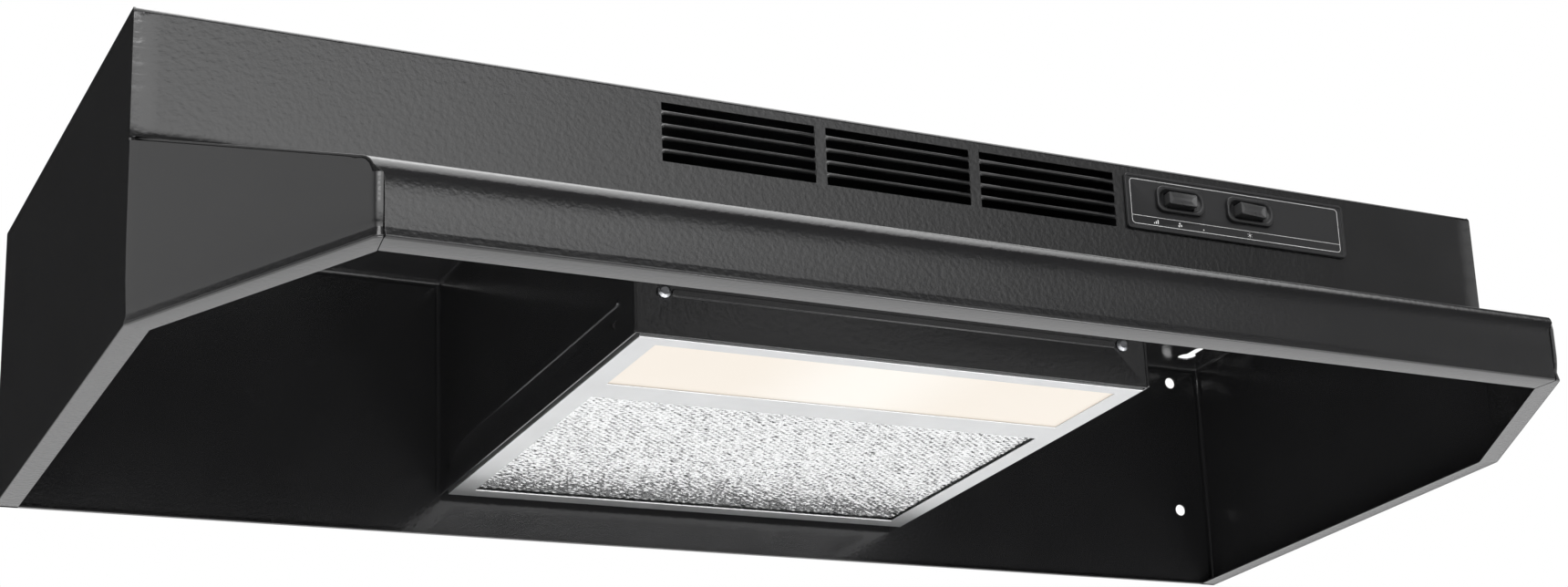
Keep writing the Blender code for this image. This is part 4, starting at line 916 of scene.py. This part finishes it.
def foil_layer(level, phase, seed, bounds):
    """Zigzag ribbons: y swings with x by a quarter diamond, and the next ribbon swings the other way."""
    (x0, y0), (x1, y1) = bounds
    random = np.random.default_rng(seed)
    step = PULL_LONG / 4
    x = np.arange(x0, x1, step)
    rows = int((y1 - y0) / (PULL_SHORT / 2))
    row = np.arange(rows)[:, None]
    swing = 2 * np.abs(((x / PULL_LONG + phase + row / 2) % 1) * 2 - 1) - 1
    middle_y = y0 + (row + 0.5) * PULL_SHORT / 2 + swing * PULL_SHORT / 4
    middle_y = middle_y + random.normal(0, 0.05 * MM, (rows, len(x)))
    tilt = np.radians(-4 + 9 * swing + random.normal(0, 6, (rows, len(x))))
    wander = random.normal(0, 0.05 * MM, (rows, len(x)))
    half_y, half_z = RIBBON / 2 * np.cos(tilt), RIBBON / 2 * np.sin(tilt)
    xs = x + random.normal(0, 0.08 * MM, (rows, len(x)))
    low = np.stack([xs, middle_y - half_y, level + wander - half_z], axis=-1)
    high = np.stack([xs, middle_y + half_y, level + wander + half_z], axis=-1)
    points = np.stack([low, high], axis=2)
    cell = np.arange(rows * len(x)).reshape(rows, len(x)) * 2
    quads = np.stack([cell[:, :-1], cell[:, :-1] + 1, cell[:, 1:] + 1, cell[:, 1:]], axis=-1)
    return points.reshape(-1, 3), quads.reshape(-1, 4)


def make_net():
    """Two layers of foil, one lying on the other, with their diamonds out of step."""
    low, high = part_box("filter_mesh")
    bounds = ((low.x + 1 * MM, low.y + 1 * MM), (high.x - 1 * MM, high.y - 1 * MM))
    first, first_faces = foil_layer(low.z + 0.8 * MM, 0.0, 3, bounds)
    second, second_faces = foil_layer(low.z + 1.9 * MM, 0.35, 8, bounds)
    net = add_piece("filter_net", np.concatenate([first, second]),
                    np.concatenate([first_faces, second_faces + len(first)]), "filter_mesh")
    net.data.shade_flat()
    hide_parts("filter_mesh")
    return net


net = make_net()
print("filter net:", len(net.data.polygons), "ribbon quads")

# %% [markdown]
# ## Marks on the switch plate
#
# The plate is printed with a thin border, a rule and one small sign for each position: bars for fast
# and slow, a fan and a lamp. They are flat shapes of ink on the plate's face.

# %% Printed border and signs
PLATE_FACE = -84.05 * MM
BORDER = (141.4 * MM, 281.7 * MM, 117.0 * MM, 143.6 * MM)
RULE_Z, SIGN_Z, LINE = 122.0 * MM, 119.45 * MM, 0.32 * MM
FAST_X, BLADES_X, SLOW_X, LAMP_X = 155.8 * MM, 172.5 * MM, 188.0 * MM, 219.0 * MM
BAR_WIDE, BAR_HIGH, BAR_PITCH = 0.7 * MM, 0.8 * MM, 1.15 * MM


def ring_of(outline, width):
    """A closed band of that width just inside a closed outline of (x, z) points."""
    ahead, behind = np.roll(outline, -1, axis=0), np.roll(outline, 1, axis=0)
    way = ahead - behind
    way /= np.linalg.norm(way, axis=1)[:, None]
    inner = outline + np.stack([-way[:, 1], way[:, 0]], axis=1) * width
    count = len(outline)
    here = np.arange(count)
    after = (here + 1) % count
    quads = np.stack([here, after, after + count, here + count], axis=1)
    return np.concatenate([outline, inner]), quads.tolist()


def rounded(x0, x1, z0, z1, radius, steps=5):
    """Outline of a rectangle with round corners, anticlockwise."""
    corners = ((x1 - radius, z1 - radius, 0), (x0 + radius, z1 - radius, 90),
               (x0 + radius, z0 + radius, 180), (x1 - radius, z0 + radius, 270))
    return np.concatenate([arc((x, z), radius, a, a + 90, steps) for x, z, a in corners])


def solid_shape(outline):
    """One flat face inside an outline."""
    return np.asarray(outline), [tuple(range(len(outline)))]


def bar(x, z, width, height):
    """A rectangle about (x, z)."""
    w, h = width / 2, height / 2
    return solid_shape([(x - w, z - h), (x + w, z - h), (x + w, z + h), (x - w, z + h)])


def fan_sign(x, z, size):
    """Three blades, each a leaf from the hub outwards."""
    blades = []
    for turn in (90, 210, 330):
        leaf = np.concatenate([arc((0.30, 0.05), 0.27, -60, 100, 6), [[0.0, 0.0]]])
        spin = np.radians(turn)
        turned = leaf @ np.array([[math.cos(spin), math.sin(spin)], [-math.sin(spin), math.cos(spin)]])
        blades.append(solid_shape(turned * size * 1.7 + (x, z)))
    return blades


def lamp_sign(x, z, size):
    """A disc with six short rays."""
    rays = []
    for turn in np.radians(np.arange(0, 360, 60) + 30):
        way, across = np.array([math.cos(turn), math.sin(turn)]), np.array([-math.sin(turn), math.cos(turn)])
        near, far, half = way * size * 0.68, way * size * 1.05, across * size * 0.09
        rays.append(solid_shape(np.array([near - half, far - half, far + half, near + half]) + (x, z)))
    return [solid_shape(arc((x, z), size * 0.42, 0, 330, 11))] + rays


def make_marks():
    """The border, the rule, and from left to right the signs for fast, fan, slow and lamp."""
    x0, x1, z0, z1 = BORDER
    shapes = [ring_of(rounded(x0, x1, z0, z1, 2.2 * MM), LINE),
              bar((x0 + x1) / 2, RULE_Z, x1 - x0 - 2 * LINE, LINE * 0.8)]
    for i in range(3):
        rise = (i / 2 - 1) * BAR_HIGH
        shapes.append(bar(FAST_X + BAR_PITCH * i, SIGN_Z + rise, BAR_WIDE, BAR_HIGH * (i + 1)))
    shapes += fan_sign(BLADES_X, SIGN_Z, 1.5 * MM)
    shapes.append(bar(SLOW_X, SIGN_Z - BAR_HIGH, BAR_WIDE, BAR_HIGH))
    shapes += lamp_sign(LAMP_X, SIGN_Z, 1.55 * MM)
    points, faces, count = [], [], 0
    for outline, polygons in shapes:
        points.append(outline)
        faces += [[i + count for i in polygon] for polygon in polygons]
        count += len(outline)
    flat = np.concatenate(points)
    placed = np.column_stack([flat[:, 0], np.full(count, PLATE_FACE - 0.02 * MM), flat[:, 1]])
    marks = add_piece("plate_marks", placed, faces, "switch_plate", INK)
    return point_out(marks, (0.2, 0, 0.13))


marks = make_marks()
print("plate marks:", len(marks.data.polygons), "shapes of ink")

# %% [markdown]
# ## Switches
#
# A bezel and a rocker are both lofts: rings of the same number of points, joined in order. The bezel's
# rings climb its side, cross its rim and sink through an oval dish to the slot. The rocker's rings climb
# its sides to a face that is hollow from end to end, so a finger stays on it.


# %% Lofted bezels and rockers
SWITCH_Z = 133.2 * MM
SWITCHES = (("fan", 173.0 * MM, 0.0), ("light", 219.5 * MM, 6.0))    # name, x, and the rocker's tilt at rest
# each ring of a bezel: width, height, corner radius and y, in mm, from the body behind the plate to the slot
BEZEL_RINGS = ((26.0, 11.2, 1.0, -62.3), (26.0, 11.2, 1.0, -83.9), (31.1, 15.1, 4.5, -84.05),
               (31.1, 15.1, 4.5, -86.0), (30.7, 14.7, 4.3, -86.42), (29.9, 13.9, 3.9, -86.55),
               (28.6, 12.4, 5.2, -86.55), (28.0, 11.6, 5.2, -86.35), (27.2, 10.8, 5.0, -85.5),
               (24.0, 9.4, 3.6, -84.3), (19.9, 8.3, 1.2, -83.9), (19.7, 8.1, 1.0, -83.4), (19.7, 8.1, 1.0, -77.5))
# each ring of a rocker: width, height and corner radius, then its y, or how far it lies behind the face
ROCKER_ROOT = ((18.5, 7.0, 0.9, -79.2), (18.5, 7.0, 0.9, -83.0))
ROCKER_FACE = ((18.5, 7.0, 0.9, 0.45), (18.3, 6.8, 0.8, 0.10), (18.0, 6.5, 0.7, 0.0),
               (16.5, 5.0, 0.5, 0.0), (14.0, 3.0, 0.5, 0.0), (11.6, 0.6, 0.2, 0.0))
FACE_Y, FACE_HOLLOW, ROCKER_HALF, PIVOT_Y = -89.2 * MM, 1.7 * MM, 9.25 * MM, -83.55 * MM


def ring_at(middle, size, radius, y):
    """A rounded rectangle of that size about (x, z), in mm. y is a number, or a function of x from the middle."""
    x, z = middle
    wide, high = (half * MM / 2 for half in size)
    flat = rounded(x - wide, x + wide, z - high, z + high, radius * MM, 6)
    level = y(flat[:, 0] - x) if callable(y) else y
    return np.column_stack([flat[:, 0], np.broadcast_to(level, len(flat)), flat[:, 1]])


def make_bezel(node, x, z):
    """The switch's housing: up its side, over its rim, and down through the dish to the slot."""
    rings = [ring_at((x, z), (wide, high), radius, y * MM) for wide, high, radius, y in BEZEL_RINGS]
    made = add_piece(node + "_bezel", *loft(rings), node)
    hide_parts(node)
    return crease(made)


def rocker_ring(middle, wide, high, radius, back):
    """A ring on the rocker's face, or that many mm behind it."""
    def hollow(along):
        """The face is a parabola, deepest in the middle."""
        return FACE_Y + FACE_HOLLOW * (1 - (along / ROCKER_HALF) ** 2) + back * MM

    return ring_at(middle, (wide, high), radius, hollow)


def make_rocker(node, x, z, tilt):
    """The rocker, from its root to its hollow face, turned by its tilt about the pivot."""
    rings = [ring_at((x, z), (wide, high), radius, y * MM) for wide, high, radius, y in ROCKER_ROOT]
    rings += [rocker_ring((x, z), *sizes) for sizes in ROCKER_FACE]
    points, faces = loft(rings)
    pivot = np.array([x, PIVOT_Y, z])
    turn = np.array(Matrix.Rotation(math.radians(tilt), 3, "Z"))
    made = add_piece(node + "_key", (points - pivot) @ turn.T + pivot, faces, node)
    point_out(made, tuple(pivot))
    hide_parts(node)
    return crease(made)


for kind, x, tilt in SWITCHES:
    make_bezel(f"{kind}_switch", x, SWITCH_Z)
    key = make_rocker(f"{kind}_rocker", x, SWITCH_Z, tilt)
    low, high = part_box(f"{kind}_rocker")
    print(key.name, [round(1000 * s, 1) for s in key.dimensions], "frame", [round(1000 * s, 1) for s in high - low])

# %% [markdown]
# ## Everything else
#
# The other pieces already have their shape. Each gets a welded copy, so that an edge is shared by its
# two faces: then a bevel can break the edge, and round faces shade as one. The bevel's width follows
# the piece's size: a screw's edge is finer than a motor bracket's.


# %% Welded copies with broken edges
FLAT = math.radians(1.5)             # faces that turn by less than this are one face


def finish_node(node, width, angle=32.0):
    """A welded copy of a frame piece that stands in for it, with broken edges and smooth round faces."""
    source = NODES[node]
    bm = bmesh.new()
    bm.from_mesh(source.data)
    bm.transform(source.matrix_world)
    bmesh.ops.remove_doubles(bm, verts=bm.verts, dist=WELD)
    bmesh.ops.dissolve_limit(bm, angle_limit=FLAT, verts=bm.verts, edges=bm.edges)
    mesh = bpy.data.meshes.new(node + "_finished")
    bm.to_mesh(mesh)
    bm.free()
    mesh.shade_smooth()
    mesh.set_sharp_from_angle(angle=math.radians(angle))
    mesh.materials.append(FINISHES[SLOT_OF[node]])
    made = bpy.data.objects.new(node + "_finished", mesh)
    bpy.context.scene.collection.objects.link(made)
    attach(made, BODY_OF[node])
    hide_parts(node)
    return soften(made, width, 2, angle)


REPLACED = {"visor", "front_panel", "side_panel_left", "side_panel_right", "filter_mesh", "fan_rocker",
            "light_rocker", "fan_switch", "light_switch"}
WIDTHS = {"filter_frame": 0.6 * MM, "switch_plate": 0.3 * MM, "top_panel": 0.2 * MM, "back_panel": 0.2 * MM,
          "charcoal_pad": 0.6 * MM, "fan_box_front": 0.45 * MM, "fan_box_left": 0.45 * MM,
          "fan_box_right": 0.45 * MM, "fan_box_back": 0.45 * MM, "fan_blade": 0.25 * MM, "light_lens": 0.3 * MM}
WIDEST, SHARE_OF_THIN = 0.3 * MM, 0.08   # for the rest: a share of the piece's thinnest side, and its most
finished = []
for node in NODES:
    if node not in REPLACED:
        low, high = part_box(node)
        width = WIDTHS.get(node, min(WIDEST, min(high - low) * SHARE_OF_THIN))
        finished.append(finish_node(node, width))
print(len(finished), "pieces finished from the frame")
